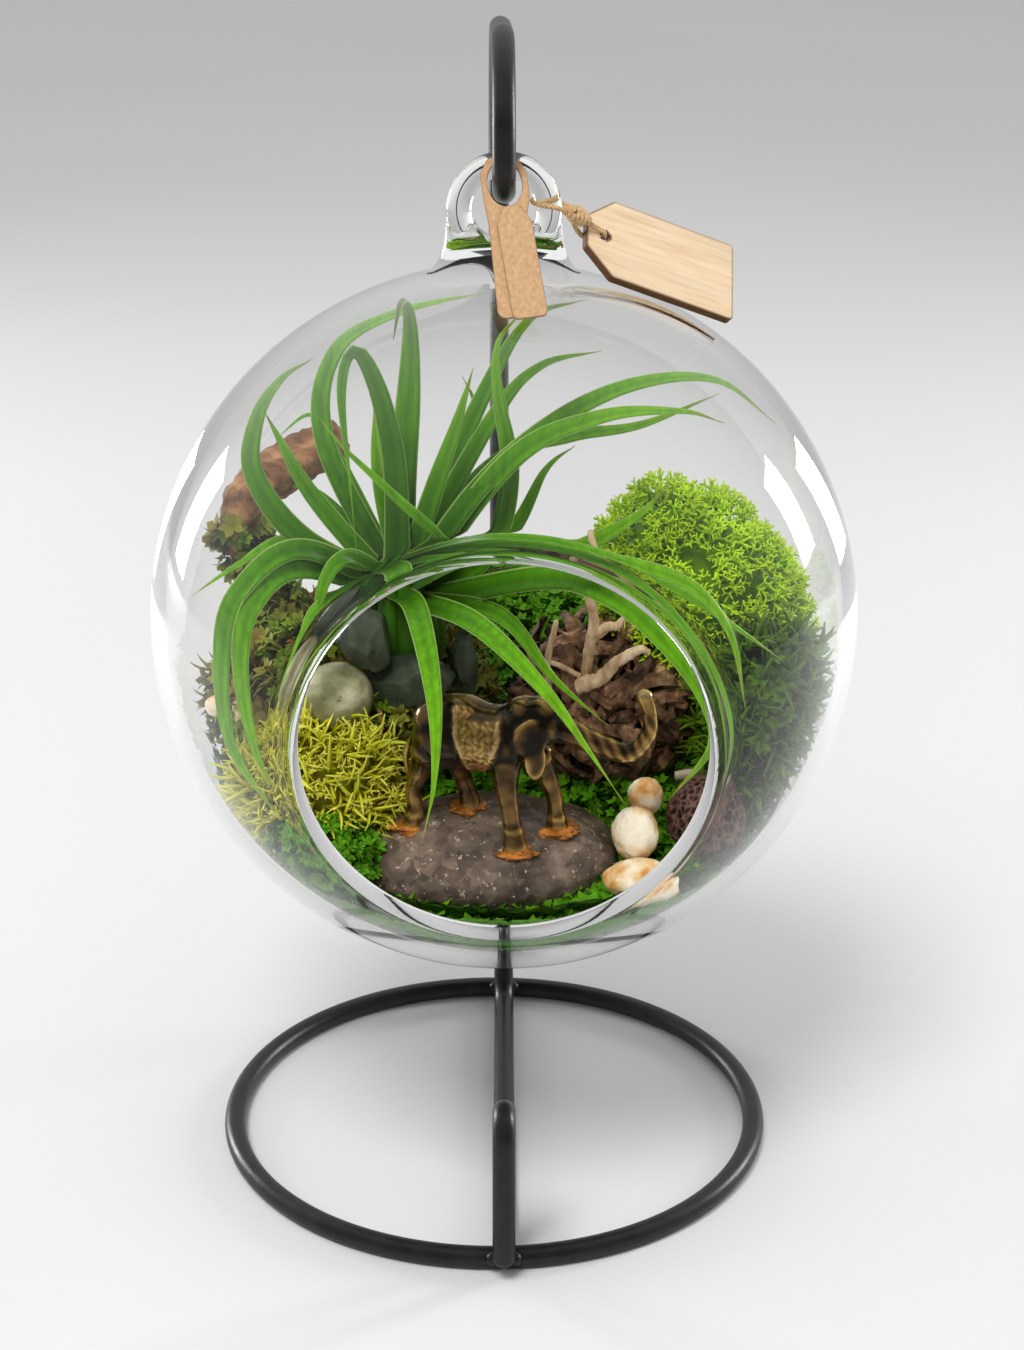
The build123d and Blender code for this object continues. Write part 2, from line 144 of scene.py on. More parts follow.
def ramp(tree, factor, stops):
    node = put(tree, "ShaderNodeValToRGB", Fac=factor)
    stops = [(position, colourOf(colour)) for position, colour in stops]
    elements = node.color_ramp.elements
    elements[0].position, elements[0].color = stops[0]
    elements[1].position, elements[1].color = stops[-1]
    for position, colour in stops[1:-1]:
        elements.new(position).color = colour
    return node.outputs["Color"]


def mixed(tree, factor, first, second, how="MIX"):
    node = put(tree, "ShaderNodeMix", {"data_type": "RGBA", "blend_type": how})
    for socket, value in ((0, factor), (6, first), (7, second)):
        fill(tree, node.inputs[socket], value)
    return node.outputs[2]


def times(tree, first, second):
    return mixed(tree, 1.0, first, second, "MULTIPLY")


def attribute(tree, name):
    return put(tree, "ShaderNodeAttribute", {"attribute_name": name}).outputs["Fac"]


def paintMaterial(name):
    material, tree, shader = newMaterial(name)
    wear = grain(tree, 260)
    colour = ramp(tree, wear, [(0.3, 0.008), (0.7, 0.017)])
    rough = ramp(tree, wear, [(0.3, 0.3), (0.7, 0.42)])
    finish(tree, shader, (grain(tree, 1400, 2), 0.00003), Base_Color=colour, Roughness=rough)
    return material


def glassMaterial(name):
    # Lamps and light thrown back by the planting pass straight through, so the planting is lit
    material, tree, shader = newMaterial(name)
    finish(tree, shader, (grain(tree, 26, 1), 0.0002), Base_Color=colourOf(1.0), Roughness=0.0, IOR=1.46,
           Transmission_Weight=1.0)
    clear = put(tree, "ShaderNodeBsdfTransparent")
    path = put(tree, "ShaderNodeLightPath")
    surface = shader.outputs[0]
    for ray in ("Is Shadow Ray", "Is Reflection Ray"):
        mix = put(tree, "ShaderNodeMixShader", Fac=path.outputs[ray])
        tree.links.new(surface, mix.inputs[1])
        tree.links.new(clear.outputs[0], mix.inputs[2])
        surface = mix.outputs[0]
    tree.links.new(surface, tree.nodes["Material Output"].inputs["Surface"])
    return material


def mossMaterial(name, deep, middle, tip, other):
    # Dark at the roots, bright at the tips: partly the stems' own colour, partly painted shade deep in the
    # clump; each sprig a little different
    material, tree, shader = newMaterial(name)
    body = ramp(tree, attribute(tree, "tip"), [(0.0, deep), (0.45, middle), (1.0, tip)])
    share = ramp(tree, attribute(tree, "tint"), [(0.35, 0.0), (1.0, 0.75)])
    patch = ramp(tree, grain(tree, 180, 2), [(0.35, 0.72), (0.65, 1.0)])
    colour = times(tree, mixed(tree, share, body, colourOf(other)), patch)
    finish(tree, shader, Base_Color=colour, Roughness=0.6, Specular_IOR_Level=0.3)
    return material


def stoneMaterial(name, stops, specks, speckShare, speckScale, gloss, pits=0.0001, grains=0.12):
    material, tree, shader = newMaterial(name)
    base = ramp(tree, grain(tree, 160, 5), stops)
    cells = put(tree, "ShaderNodeTexVoronoi", Vector=objectPlace(tree), Scale=speckScale * 0.7)
    crystals = ramp(tree, cells.outputs["Color"], [(0.25, 1 - grains), (0.75, 1 + grains)])
    speckGrain = grain(tree, speckScale, 3, harshness=0.7)
    spot = ramp(tree, speckGrain, [(speckShare, 0.0), (speckShare + 0.06, 1.0)])
    colour = mixed(tree, spot, times(tree, base, crystals), colourOf(specks))
    rough = ramp(tree, grain(tree, 420, 3), [(0.3, gloss - 0.1), (0.7, gloss + 0.1)])
    finish(tree, shader, (grain(tree, 700, 4), pits), Base_Color=colour, Roughness=rough)
    return material


def lavaMaterial(name):
    # Painted shade darkens the pits; the ridges are paler, mottled with dust
    material, tree, shader = newMaterial(name)
    ridge = attribute(tree, "ridge")
    body = ramp(tree, ridge, [(0.0, (22, 12, 10)), (0.5, (66, 42, 36)), (1.0, (134, 100, 86))])
    dust = ramp(tree, grain(tree, 700, 4), [(0.3, 0.65), (0.7, 1.1)])
    finish(tree, shader, (grain(tree, 1300, 3), 0.0002), Base_Color=times(tree, body, dust), Roughness=0.75)
    return material


def grainMaterial(name, stops, scale, detail=5, stretch=(1, 1, 1), harshness=0.55, depth=0.0001, **sockets):
    # One grain gives the colour and the relief
    material, tree, shader = newMaterial(name)
    figure = grain(tree, scale, detail, stretch, harshness)
    bump = (figure, depth) if depth else None
    finish(tree, shader, bump, Base_Color=ramp(tree, figure, stops), **sockets)
    return material


def barkMaterial(name):
    # Each strip has its own tone at random; a painted highlight lightens its crest and painted shade darkens
    # its edges
    material, tree, shader = newMaterial(name)
    figure = grain(tree, 420, 5, harshness=0.65)
    colour = ramp(tree, figure, [(0.3, (66, 44, 30)), (0.5, (124, 90, 64)), (0.72, (196, 156, 116))])
    shade = ramp(tree, attribute(tree, "tint"), [(0.0, 0.2), (0.5, 0.75), (1.0, 1.35)])
    crestLightEdgeShade = ramp(tree, attribute(tree, "tip"), [(0.05, 0.3), (0.45, 1.0), (0.8, 1.5)])
    colour = times(tree, times(tree, colour, shade), crestLightEdgeShade)
    finish(tree, shader, (figure, 0.0002), Base_Color=colour, Roughness=0.72)
    return material


def leafMaterial(name):
    # Grey-green at the foot, bright towards the tip, with painted shade in the groove and on the underside, a
    # painted highlight towards the edges, and a pale edge
    material, tree, shader = newMaterial(name)
    colour = ramp(tree, attribute(tree, "along"), [
        (0.0, (84, 106, 74)), (0.1, (60, 104, 26)), (0.26, (70, 132, 4)),
        (0.55, (104, 174, 6)), (0.88, (136, 202, 18)), (1.0, (172, 170, 66)),
    ])
    streaks = ramp(tree, grain(tree, 900, 2, (1, 1, 0.15)), [(0.35, 0.7), (0.65, 1.0)])
    tint = ramp(tree, attribute(tree, "tint"), [(0.0, 0.0), (1.0, 0.6)])
    colour = mixed(tree, tint, times(tree, colour, streaks), colourOf((66, 122, 10)))
    # Painted shade on the underside; painted shade along the groove and a painted highlight towards the edges
    undersideShade = ramp(tree, attribute(tree, "upper"), [(0.0, 0.48), (1.0, 1.0)])
    grooveShadeEdgeLight = ramp(tree, attribute(tree, "across"), [(0.0, 0.72), (0.5, 1.0), (0.85, 1.1)])
    colour = times(tree, times(tree, colour, undersideShade), grooveShadeEdgeLight)
    edge = ramp(tree, attribute(tree, "across"), [(0.84, 0.0), (1.0, 0.85)])
    colour = mixed(tree, edge, colour, colourOf((182, 214, 118)))
    finish(tree, shader, (streaks, 0.00008), Base_Color=colour, Roughness=0.38, Specular_IOR_Level=0.35)
    return material


def bronzeMaterial(name):
    # Black in the hollows, rubbed to gold on the high places
    material, tree, shader = newMaterial(name)
    cloud = ramp(tree, grain(tree, 330, 4), [(0.3, 0.72), (0.7, 1.0)])
    colour = ramp(tree, attribute(tree, "wear"), [
        (0.15, (44, 36, 25)), (0.35, (136, 104, 58)), (0.6, (236, 188, 104)), (1.0, (252, 226, 158)),
    ])
    rough = ramp(tree, cloud, [(0.0, 0.3), (1.0, 0.16)])
    finish(tree, shader, Base_Color=times(tree, colour, cloud), Metallic=0.9, Roughness=rough,
           Coat_Weight=0.5, Coat_Roughness=0.12)
    return material


def cardMaterial(name):
    material, tree, shader = newMaterial(name)
    fibre = grain(tree, 1500, 5, (1, 1, 0.3), 0.7)
    face = ramp(tree, fibre, [(0.3, (182, 142, 102)), (0.55, (202, 162, 122)), (0.75, (218, 182, 142))])
    rim = ramp(tree, attribute(tree, "edge"), [(0.1, 1.0), (1.0, 0.5)])
    finish(tree, shader, (fibre, 0.00003), Base_Color=times(tree, face, rim), Roughness=0.8)
    return material


def tagMaterial(name, longAxis, facing):
    # Pale plywood, its grain along the tag, with scorched edges
    material, tree, shader = newMaterial(name)
    axes = Matrix((longAxis, Vector(facing).cross(longAxis), facing)).transposed()
    along = put(tree, "ShaderNodeMapping", {"vector_type": "TEXTURE"}, Vector=objectPlace(tree),
                Rotation=axes.to_euler(), Scale=(14, 1, 1)).outputs[0]
    figure = put(tree, "ShaderNodeTexNoise", Vector=along, Scale=1500, Detail=4, Roughness=0.6).outputs[0]
    broad = put(tree, "ShaderNodeTexNoise", Vector=along, Scale=300, Detail=2).outputs[0]
    face = ramp(tree, figure, [(0.25, (218, 186, 146)), (0.5, (233, 205, 168)), (0.75, (240, 216, 182))])
    face = times(tree, face, ramp(tree, broad, [(0.3, 0.88), (0.7, 1.0)]))
    scorch = ramp(tree, attribute(tree, "edge"), [(0.1, 0.0), (0.9, 1.0)])
    colour = mixed(tree, scorch, face, colourOf((96, 58, 30)))
    finish(tree, shader, (figure, 0.00003), Base_Color=colour, Roughness=0.6)
    return material


blackPaint = paintMaterial("blackPaint")
clearGlass = glassMaterial("clearGlass")
limeMoss = mossMaterial("limeMoss", (78, 124, 4), (164, 224, 10), (220, 252, 56), (196, 236, 24))
yellowMoss = mossMaterial("yellowMoss", (118, 112, 8), (224, 218, 36), (252, 245, 116), (200, 208, 40))
greenMoss = mossMaterial("greenMoss", (20, 52, 4), (58, 128, 12), (116, 188, 34), (96, 150, 16))
darkMoss = mossMaterial("darkMoss", (12, 34, 2), (46, 90, 2), (108, 154, 8), (80, 108, 6))
litterMoss = mossMaterial("litterMoss", (46, 52, 14), (100, 138, 28), (160, 190, 56), (142, 100, 58))
riverStone = stoneMaterial(
    "riverStone", [(0.3, (58, 50, 44)), (0.5, (96, 82, 70)), (0.72, (132, 112, 94))],
    specks=(190, 170, 146), speckShare=0.62, speckScale=900, gloss=0.4, pits=0.00025, grains=0.3)
slateStone = stoneMaterial(
    "slateStone", [(0.3, (42, 50, 38)), (0.55, (72, 82, 64)), (0.75, (106, 112, 90))],
    specks=(140, 140, 130), speckShare=0.7, speckScale=700, gloss=0.36)
mossyPebble = stoneMaterial(
    "mossyPebble", [(0.3, (104, 104, 66)), (0.5, (152, 150, 112)), (0.7, (192, 188, 156))],
    specks=(92, 84, 58), speckShare=0.66, speckScale=700, gloss=0.34)
creamStone = stoneMaterial(
    "creamStone", [(0.38, (206, 140, 70)), (0.47, (234, 200, 146)), (0.56, (244, 232, 206))],
    specks=(96, 62, 34), speckShare=0.69, speckScale=800, gloss=0.28, grains=0.04)
lavaStone = lavaMaterial("lavaStone")
barkBrown = barkMaterial("barkBrown")
driedLeaf = grainMaterial(
    "driedLeaf", [(0.3, (84, 50, 28)), (0.55, (140, 92, 56)), (0.75, (180, 132, 88))], 600, Roughness=0.6)
twigWood = grainMaterial(
    "twigWood", [(0.3, (172, 136, 98)), (0.55, (222, 190, 150)), (0.75, (244, 222, 190))], 700,
    stretch=(1, 1, 0.3), Roughness=0.6)
driftBrown = grainMaterial(
    "driftBrown", [(0.3, (78, 50, 30)), (0.5, (150, 104, 66)), (0.72, (206, 160, 112))], 520,
    stretch=(0.3, 1, 0.5), depth=0.0004, Roughness=0.7)
paleWood = grainMaterial(
    "paleWood", [(0.3, (150, 128, 104)), (0.55, (196, 178, 152)), (0.75, (224, 210, 188))], 500,
    stretch=(0.3, 1, 1), Roughness=0.6)
amberGlue = grainMaterial(
    "amberGlue", [(0.35, (126, 70, 18)), (0.65, (204, 130, 50))], 500,
    detail=3, depth=0, Roughness=0.28, Coat_Weight=0.5)
juteTwine = grainMaterial(
    "juteTwine", [(0.3, (160, 120, 76)), (0.6, (218, 184, 136)), (0.8, (242, 220, 182))], 2600,
    detail=3, harshness=0.7, depth=0.00006, Roughness=0.85)
leafGreen = leafMaterial("leafGreen")
agedBronze = bronzeMaterial("agedBronze")
kraftCard = cardMaterial("kraftCard")
print("materials made")


# Shape building blocks
def unit(vectors):
    return vectors / np.linalg.norm(vectors, axis=-1, keepdims=True)


def evenLine(points, count):
    # Points at even steps along a line, and how far along it each one is
    travel = np.r_[0, np.cumsum(np.linalg.norm(np.diff(points, axis=0), axis=1))]
    even = np.linspace(0, travel[-1], count)
    return np.column_stack([np.interp(even, travel, points[:, axis]) for axis in range(3)]), even


def smoothLine(points, count, fineSteps=24):
    # Even steps along a rounded line through the points
    given = np.array(points, float)
    knots = np.vstack([2 * given[0] - given[1], given, 2 * given[-1] - given[-2]])
    fine = []
    for index in range(len(given) - 1):
        a, b, c, d = knots[index:index + 4]
        bend, twist = 2 * a - 5 * b + 4 * c - d, 3 * b - a - 3 * c + d
        for t in np.linspace(0, 1, fineSteps, endpoint=False):
            fine.append(0.5 * (2 * b + (c - a) * t + bend * t**2 + twist * t**3))
    return evenLine(np.array(fine + [given[-1]]), count)[0]


def carriedSides(heading, side):
    # A side direction carried along a line without twist
    sides = []
    for step in heading:
        side = unit(side - step * side.dot(step))
        sides.append(side)
    return np.array(sides)


def ringFaces(count, sides, closed=False):
    faces = []
    for ring in range(count if closed else count - 1):
        near, far = ring * sides, (ring + 1) % count * sides
        for corner in range(sides):
            beside = (corner + 1) % sides
            faces.append((near + corner, near + beside, far + beside, far + corner))
    return faces


def flatEnds(count, sides):
    return [tuple(range(sides - 1, -1, -1)), tuple(range((count - 1) * sides, count * sides))]


def pointedEnds(count, sides):
    # Fans to two points that stand after the rings
    faces, first, last = [], count * sides, (count - 1) * sides
    for corner in range(sides):
        beside = (corner + 1) % sides
        faces.append((first, beside, corner))
        faces.append((first + 1, last + corner, last + beside))
    return faces


def tube(line, radii, sides=8, squeeze=1.0):
    # A closed round skin along a line, without twist
    line = np.array(line, float)
    count = len(line)
    radii = np.broadcast_to(np.array(radii, float), (count,))
    heading = unit(np.gradient(line, axis=0))
    anyDirection = (0.31, 0.9, 0.22)
    across = carriedSides(heading, unit(np.cross(heading[0], anyDirection)))
    turn = np.linspace(0, fullTurn, sides, endpoint=False)
    rings = []
    for place, radius, side, other in zip(line, radii, across, np.cross(heading, across)):
        spokes = np.outer(np.cos(turn), side) + squeeze * np.outer(np.sin(turn), other)
        rings.append(place + radius * spokes)
    return np.vstack(rings + [line[:1], line[-1:]]), ringFaces(count, sides) + pointedEnds(count, sides)


def ball(detail):
    shape = bmesh.new()
    bmesh.ops.create_icosphere(shape, subdivisions=detail, radius=1)
    shape.verts.index_update()
    points = np.array([vertex.co[:] for vertex in shape.verts])
    faces = [tuple(vertex.index for vertex in face.verts) for face in shape.faces]
    shape.free()
    return points, faces


def merge(shapes):
    points, faces, start = [], [], 0
    for shapePoints, shapeFaces in shapes:
        points.append(shapePoints)
        faces += [tuple(start + corner for corner in face) for face in shapeFaces]
        start += len(shapePoints)
    return np.vstack(points), faces


def uneven(points, scale, octaves=3, seed=0):
    shift = Vector((seed * 7.3, seed * 3.1, seed * 5.7))
    return np.array([noise.fractal(Vector(point) * scale + shift, 1.0, 2.0, octaves) for point in points])


def faceMiddles(points, faces):
    return np.array([points[list(face)].mean(axis=0) for face in faces])


def outside(points, centre, radii, limit=1.0):
    return (((points - centre) / radii)**2).sum(axis=1) > limit


def kept(faces, keep):
    return [face for face, stays in zip(faces, keep) if stays]


def limbRadii(radii, count):
    return np.interp(np.linspace(0, len(radii) - 1, count), range(len(radii)), radii)


def newMesh(name, points, faces, material, values=None, smooth=True):
    mesh = bpy.data.meshes.new(name)
    mesh.from_pydata((np.array(points) / 1000).tolist(), [], faces)
    mesh.materials.append(material)
    mesh.polygons.foreach_set("use_smooth", [smooth] * len(mesh.polygons))
    for key, numbers in (values or {}).items():
        mesh.attributes.new(key, "FLOAT", "POINT").data.foreach_set("value", np.array(numbers, np.float32))
    mesh.update()
    return mesh


def faceOutward(mesh):
    shape = bmesh.new()
    shape.from_mesh(mesh)
    bmesh.ops.recalc_face_normals(shape, faces=shape.faces)
    shape.to_mesh(mesh)
    shape.free()


def plainMesh(holder, *helpers):
    # What an object's modifiers give, as a mesh; the object and its helpers go
    graph = bpy.context.evaluated_depsgraph_get()
    mesh = bpy.data.meshes.new_from_object(holder.evaluated_get(graph))
    for helper in (holder, *helpers):
        bpy.data.objects.remove(helper)
    return mesh


def smoothFinish(mesh, material):
    mesh.polygons.foreach_set("use_smooth", [True] * len(mesh.polygons))
    mesh.materials.clear()
    mesh.materials.append(material)


def addPiece(name, mesh, body, slotName, *nodes):
    piece = newObject(name, mesh)
    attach(piece, body)
    if nodes:
        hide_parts(*nodes)
    return piece


def solidPiece(name, shape, material, body, slotName, *nodes, values=None, smooth=True):
    mesh = newMesh(name, shape[0], shape[1], material, values, smooth)
    faceOutward(mesh)
    return addPiece(name, mesh, body, slotName, *nodes)


# Twine through the tag, round the glass loop and tied
twine = {
    "route": [
        (10.6, -1.7, 168.2), (14.2, -0.2, 165.4), (16.8, 0.5, 164.05), (15.4, 2.3, 162.15),
        (12.2, 1.3, 163.5), (10.9, -0.6, 166.7), (9.0, -3.1, 168.8), (5.9, -3.0, 169.2), (4.2, -0.4, 169.4),
        (5.4, 3.1, 169.3), (8.8, 3.0, 168.9), (10.6, 0.8, 168.4), (10.9, -1.0, 168.3),
    ],
    "steps": 260,
    "thickness": 0.9,
    "strand": 0.24,
    "strandSides": 6,
    "lay": 1.7,
    "knot": (10.8, -1.4, 167.9),
    "knotReach": 0.36,
    "knotCord": 0.42,
    "wrapFrom": 0.4,
    "wrapTo": 3.1,
    "wrapTurns": 4,
    "wrapReach": 1.1,
    "wrapCord": 0.46,
}


def routeLine(route):
    curve = bpy.data.curves.new("twineRoute", "CURVE")
    curve.dimensions = "3D"
    curve.resolution_u = 16
    spline = curve.splines.new("NURBS")
    spline.points.add(len(route) - 1)
    for point, place in zip(spline.points, route):
        point.co = (place[0] / 1000, place[1] / 1000, place[2] / 1000, 1)
    spline.order_u = 3
    spline.use_endpoint_u = True
    line = plainMesh(newObject("twineRoute", curve))
    points = np.array([vertex.co[:] for vertex in line.vertices]) * 1000
    bpy.data.meshes.remove(line)
    return points


def makeTwine(values):
    line, even = evenLine(routeLine(values["route"]), values["steps"])
    heading = unit(np.gradient(line, axis=0))
    sides = carriedSides(heading, np.array((0.0, 0.0, 1.0)))
    others = np.cross(heading, sides)
    offset = values["thickness"] / 2 - values["strand"]
    strands = []
    for start in thirds:
        turn = (start + fullTurn * even / values["lay"])[:, None]
        path = line + offset * (np.cos(turn) * sides + np.sin(turn) * others)
        strands.append(tube(path, values["strand"], values["strandSides"]))
    cord = solidPiece("juteTwine", merge(strands), juteTwine, "globe", "twine", "tag_twine")
    # A trefoil for the knot
    turn = np.linspace(0, fullTurn, 120)
    loops = np.column_stack([np.sin(turn) + 2 * np.sin(2 * turn), np.cos(turn) - 2 * np.cos(2 * turn),
                             -1.4 * np.sin(3 * turn)]) * values["knotReach"] + values["knot"]
    knot = solidPiece("twineKnot", tube(loops, values["knotCord"]), juteTwine, "globe", "twine", "twine_knot")
    # Uneven coils from the knot towards the tag, drawn in a little as they go
    towards = unit(np.array(values["route"][2]) - values["knot"])
    side = unit(np.cross(towards, (0, 0, 1)))
    other = np.cross(towards, side)
    share = np.linspace(0, 1, 110)[:, None]
    turn = fullTurn * values["wrapTurns"] * share
    reach = values["wrapReach"] * (1 - 0.25 * share) * (1 + 0.12 * np.sin(3.1 * turn))
    run = values["wrapFrom"] + (values["wrapTo"] - values["wrapFrom"]) * share
    coils = values["knot"] + run * towards + reach * (np.cos(turn) * side + np.sin(turn) * other)
    wraps = solidPiece("twineWraps", tube(coils, values["wrapCord"]), juteTwine, "globe", "twine")


makeTwine(twine)


# Glass globe: a shell turned about the opening's axis, with a drawn neck and loop
globe = {
    "outer": 60.0,
    "wall": 2.4,
    "dip": 6.0,
    "mouth": 33.1,
    "bead": 1.45,
    "beadSteps": 16,
    "around": 160,
    "wallSteps": 56,
    "poleGap": 0.02,
    "loopHeight": 69.5,
    "loopRing": 7.3,
    "loopTube": 2.1,
    "loopSides": (96, 28),
    "loopHole": 5.2,
    # Share of the neck's height, then how far its width and its depth have spread there
    "neck": [(0.2, 1.0, 1.0), (0.3, 0.64, 0.7), (0.48, 0.26, 0.36), (0.74, 0.05, 0.12), (1.0, 0.0, 0.02)],
    "neckTop": (9.4, 2.1),
    "neckSpread": (5.1, 10.9),
    "neckRings": 28,
    "neckSides": 72,
    "neckSoften": 6,
}


def shellShape(values):
    half, bead = values["wall"] / 2, values["bead"]
    middle = values["outer"] - half
    mouth = math.asin(values["mouth"] / middle)
    lip = math.acos(math.sqrt(bead**2 - half**2) / bead)
    start = mouth + math.sqrt(bead**2 - half**2) / middle
    pole = math.pi - values["poleGap"]
    profile = [(middle - half, angle) for angle in np.linspace(pole, start, values["wallSteps"])]
    for turn in np.linspace(-lip, lip - fullTurn, values["beadSteps"])[1:-1]:
        profile.append((middle + bead * math.sin(turn), mouth + bead * math.cos(turn) / middle))
    profile += [(middle + half, angle) for angle in np.linspace(start, pole, values["wallSteps"])]
    dip = math.radians(values["dip"])
    axis = np.array((0, -math.cos(dip), -math.sin(dip)))
    up = np.array((0, -math.sin(dip), math.cos(dip)))
    sides, count = values["around"], len(profile)
    turn = np.linspace(0, fullTurn, sides, endpoint=False)
    ring = np.outer(np.cos(turn), (1, 0, 0)) + np.outer(np.sin(turn), up)
    points = [radius * (math.cos(angle) * axis + math.sin(angle) * ring) for radius, angle in profile]
    ends = np.array([-(middle - half) * axis, -(middle + half) * axis])
    return fromGlobe(np.vstack(points + [ends])), ringFaces(count, sides) + pointedEnds(count, sides)


def neckShape(values):
    given, sides = np.array(values["neck"]), values["neckSides"]
    rises = np.linspace(given[0, 0], given[-1, 0], values["neckRings"])
    spreads = [np.interp(rises, given[:, 0], given[:, column]) for column in (1, 2)]
    for spread in spreads * values["neckSoften"]:
        spread[1:-1] = (spread[:-2] + 2 * spread[1:-1] + spread[2:]) / 4
    bottom, top = values["outer"] - 2 * values["wall"], values["loopHeight"] - values["loopTube"]
    turn = np.linspace(0, fullTurn, sides, endpoint=False)
    rings = []
    for rise, width, depth in zip(rises, *spreads):
        halfWide = values["neckTop"][0] + values["neckSpread"][0] * width
        halfDeep = values["neckTop"][1] + values["neckSpread"][1] * depth
        height = np.full(sides, bottom + (top - bottom) * rise)
        rings.append(np.column_stack([halfWide * np.cos(turn), halfDeep * np.sin(turn), height]))
    return fromGlobe(np.vstack(rings)), ringFaces(len(rises), sides) + flatEnds(len(rises), sides)


def loopShape(values):
    count, sides = values["loopSides"]
    small = np.linspace(0, fullTurn, sides, endpoint=False)
    reach = values["loopRing"] + values["loopTube"] * np.cos(small)
    points = []
    for angle in np.linspace(0, fullTurn, count, endpoint=False):
        points.append(np.column_stack([reach * math.cos(angle), values["loopTube"] * np.sin(small),
                                       values["loopHeight"] + reach * math.sin(angle)]))
    return fromGlobe(np.vstack(points)), ringFaces(count, sides, closed=True)


def holeShape(values, halfLength=20, sides=96):
    line = np.array([(0, y, values["loopHeight"]) for y in (-halfLength, halfLength)])
    return tube(fromGlobe(line), values["loopHole"], sides)


def glassHelper(name, shape):
    mesh = newMesh(name, shape[0], shape[1], clearGlass)
    faceOutward(mesh)
    return newObject(name, mesh)


def combine(target, action, *helpers):
    for helper in helpers:
        step = target.modifiers.new("join", "BOOLEAN")
        step.operation, step.object, step.solver = action, helper, "EXACT"
    return plainMesh(target, *helpers)


def makeGlass(values):
    neck = glassHelper("glassNeck", neckShape(values))
    neckMesh = combine(neck, "DIFFERENCE", glassHelper("loopHole", holeShape(values)))
    neck = newObject("glassNeckCut", neckMesh)
    loop = glassHelper("glassLoop", loopShape(values))
    mesh = combine(glassHelper("glassShell", shellShape(values)), "UNION", neck, loop)
    mesh.name = "glassGlobe"
    smoothFinish(mesh, clearGlass)
    addPiece("glassGlobe", mesh, "globe", "clear_glass", "glass_globe")
    print("glass", len(mesh.polygons), "faces")


makeGlass(globe)


# Stand stays as built, in satin black
for nodeName in ("base_ring", "stand_rod", "weld_beads"):
    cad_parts[nodeName].data.materials.clear()
    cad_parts[nodeName].data.materials.append(blackPaint)
print("stand painted")


# Sprigs, in millimetres at the origin and growing along Z
def branchSprig(seed, levels, length, thickness, spread, thinner=0.8, taper=0.75, shorter=0.78):
    # A stem that forks at each level, in three at the second
    chance = np.random.default_rng(seed)
    points, faces, tips = [], [], []

    def grow(start, heading, size, depth):
        heading = unit(heading)
        across = unit(np.cross(heading, chance.normal(size=3)))
        other = np.cross(heading, across)
        end = start + heading * size
        first = len(points)
        thin = thickness * thinner**depth
        for place, width, level in ((start, thin, depth), (end, thin * taper, depth + 1)):
            for turn in thirds:
                points.append(place + width * (math.cos(turn) * across + math.sin(turn) * other))
                tips.append(level / levels)
        for corner in range(3):
            beside = (corner + 1) % 3
            faces.append((first + corner, first + beside, first + 3 + beside, first + 3 + corner))
        if depth == levels - 1:
            faces.append((first + 3, first + 4, first + 5))
            return
        forks = 3 if depth == 1 else 2
        begin = chance.uniform(0, fullTurn)
        for fork in range(forks):
            turn = begin + fullTurn * fork / forks
            lean = spread * chance.uniform(0.7, 1.3)
            away = math.cos(turn) * across + math.sin(turn) * other
            grow(end, heading + lean * away, size * shorter, depth + 1)

    grow(np.zeros(3), np.array((0.0, 0.0, 1.0)), length, 0)
    return np.array(points), faces, tips


def strandSprig(seed, strands, length, thickness, curl, flat=1.0, steps=4):
    # Loose strands that bend one way and taper to their tips
    chance = np.random.default_rng(seed)
    shapes, tips = [], []
    for _ in range(strands):
        heading = unit(np.array((*chance.normal(size=2), 1.2)))
        bend = unit(np.cross(heading, chance.normal(size=3))) * curl
        place, line = np.zeros(3), [np.zeros(3)]
        for _ in range(steps):
            place = place + heading * length / steps
            heading = unit(heading + bend * 4 / steps)
            line.append(place)
        share = np.linspace(0, 1, steps + 1)
        shapes.append(tube(line, thickness * (1 - 0.75 * share**3), 3, flat))
        tips += [level for level in share for _ in range(3)] + [0, 1]
    return *merge(shapes), tips


def leafySprig(seed, whorls, reach, width, leafCount=5):
    # Whorls of small pointed leaves, the upper ones steeper
    chance = np.random.default_rng(seed)
    points, faces, tips = [], [], []
    for whorl in range(whorls):
        height, lift = 0.45 * reach * whorl, 0.45 + 0.25 * whorl
        for leaf in range(leafCount):
            turn = fullTurn * (leaf + 0.5 * whorl) / leafCount + chance.uniform(-0.3, 0.3)
            out = np.array((math.cos(turn), math.sin(turn), 0.0))
            side = np.array((-math.sin(turn), math.cos(turn), 0.0))
            first = len(points)
            for along, wide in ((0.0, 0.3), (0.55, 1.0), (1.0, 0.0)):
                up = height + reach * lift * along * (1.2 - 0.5 * along)
                middle = out * reach * along + np.array((0, 0, up))
                points += [middle - side * width * wide, middle + side * width * wide]
                tips += [0.3 * along + 0.7 * whorl / whorls + 0.1] * 2
            faces += [(first, first + 1, first + 3, first + 2), (first + 2, first + 3, first + 5, first + 4)]
    return np.array(points), faces, tips


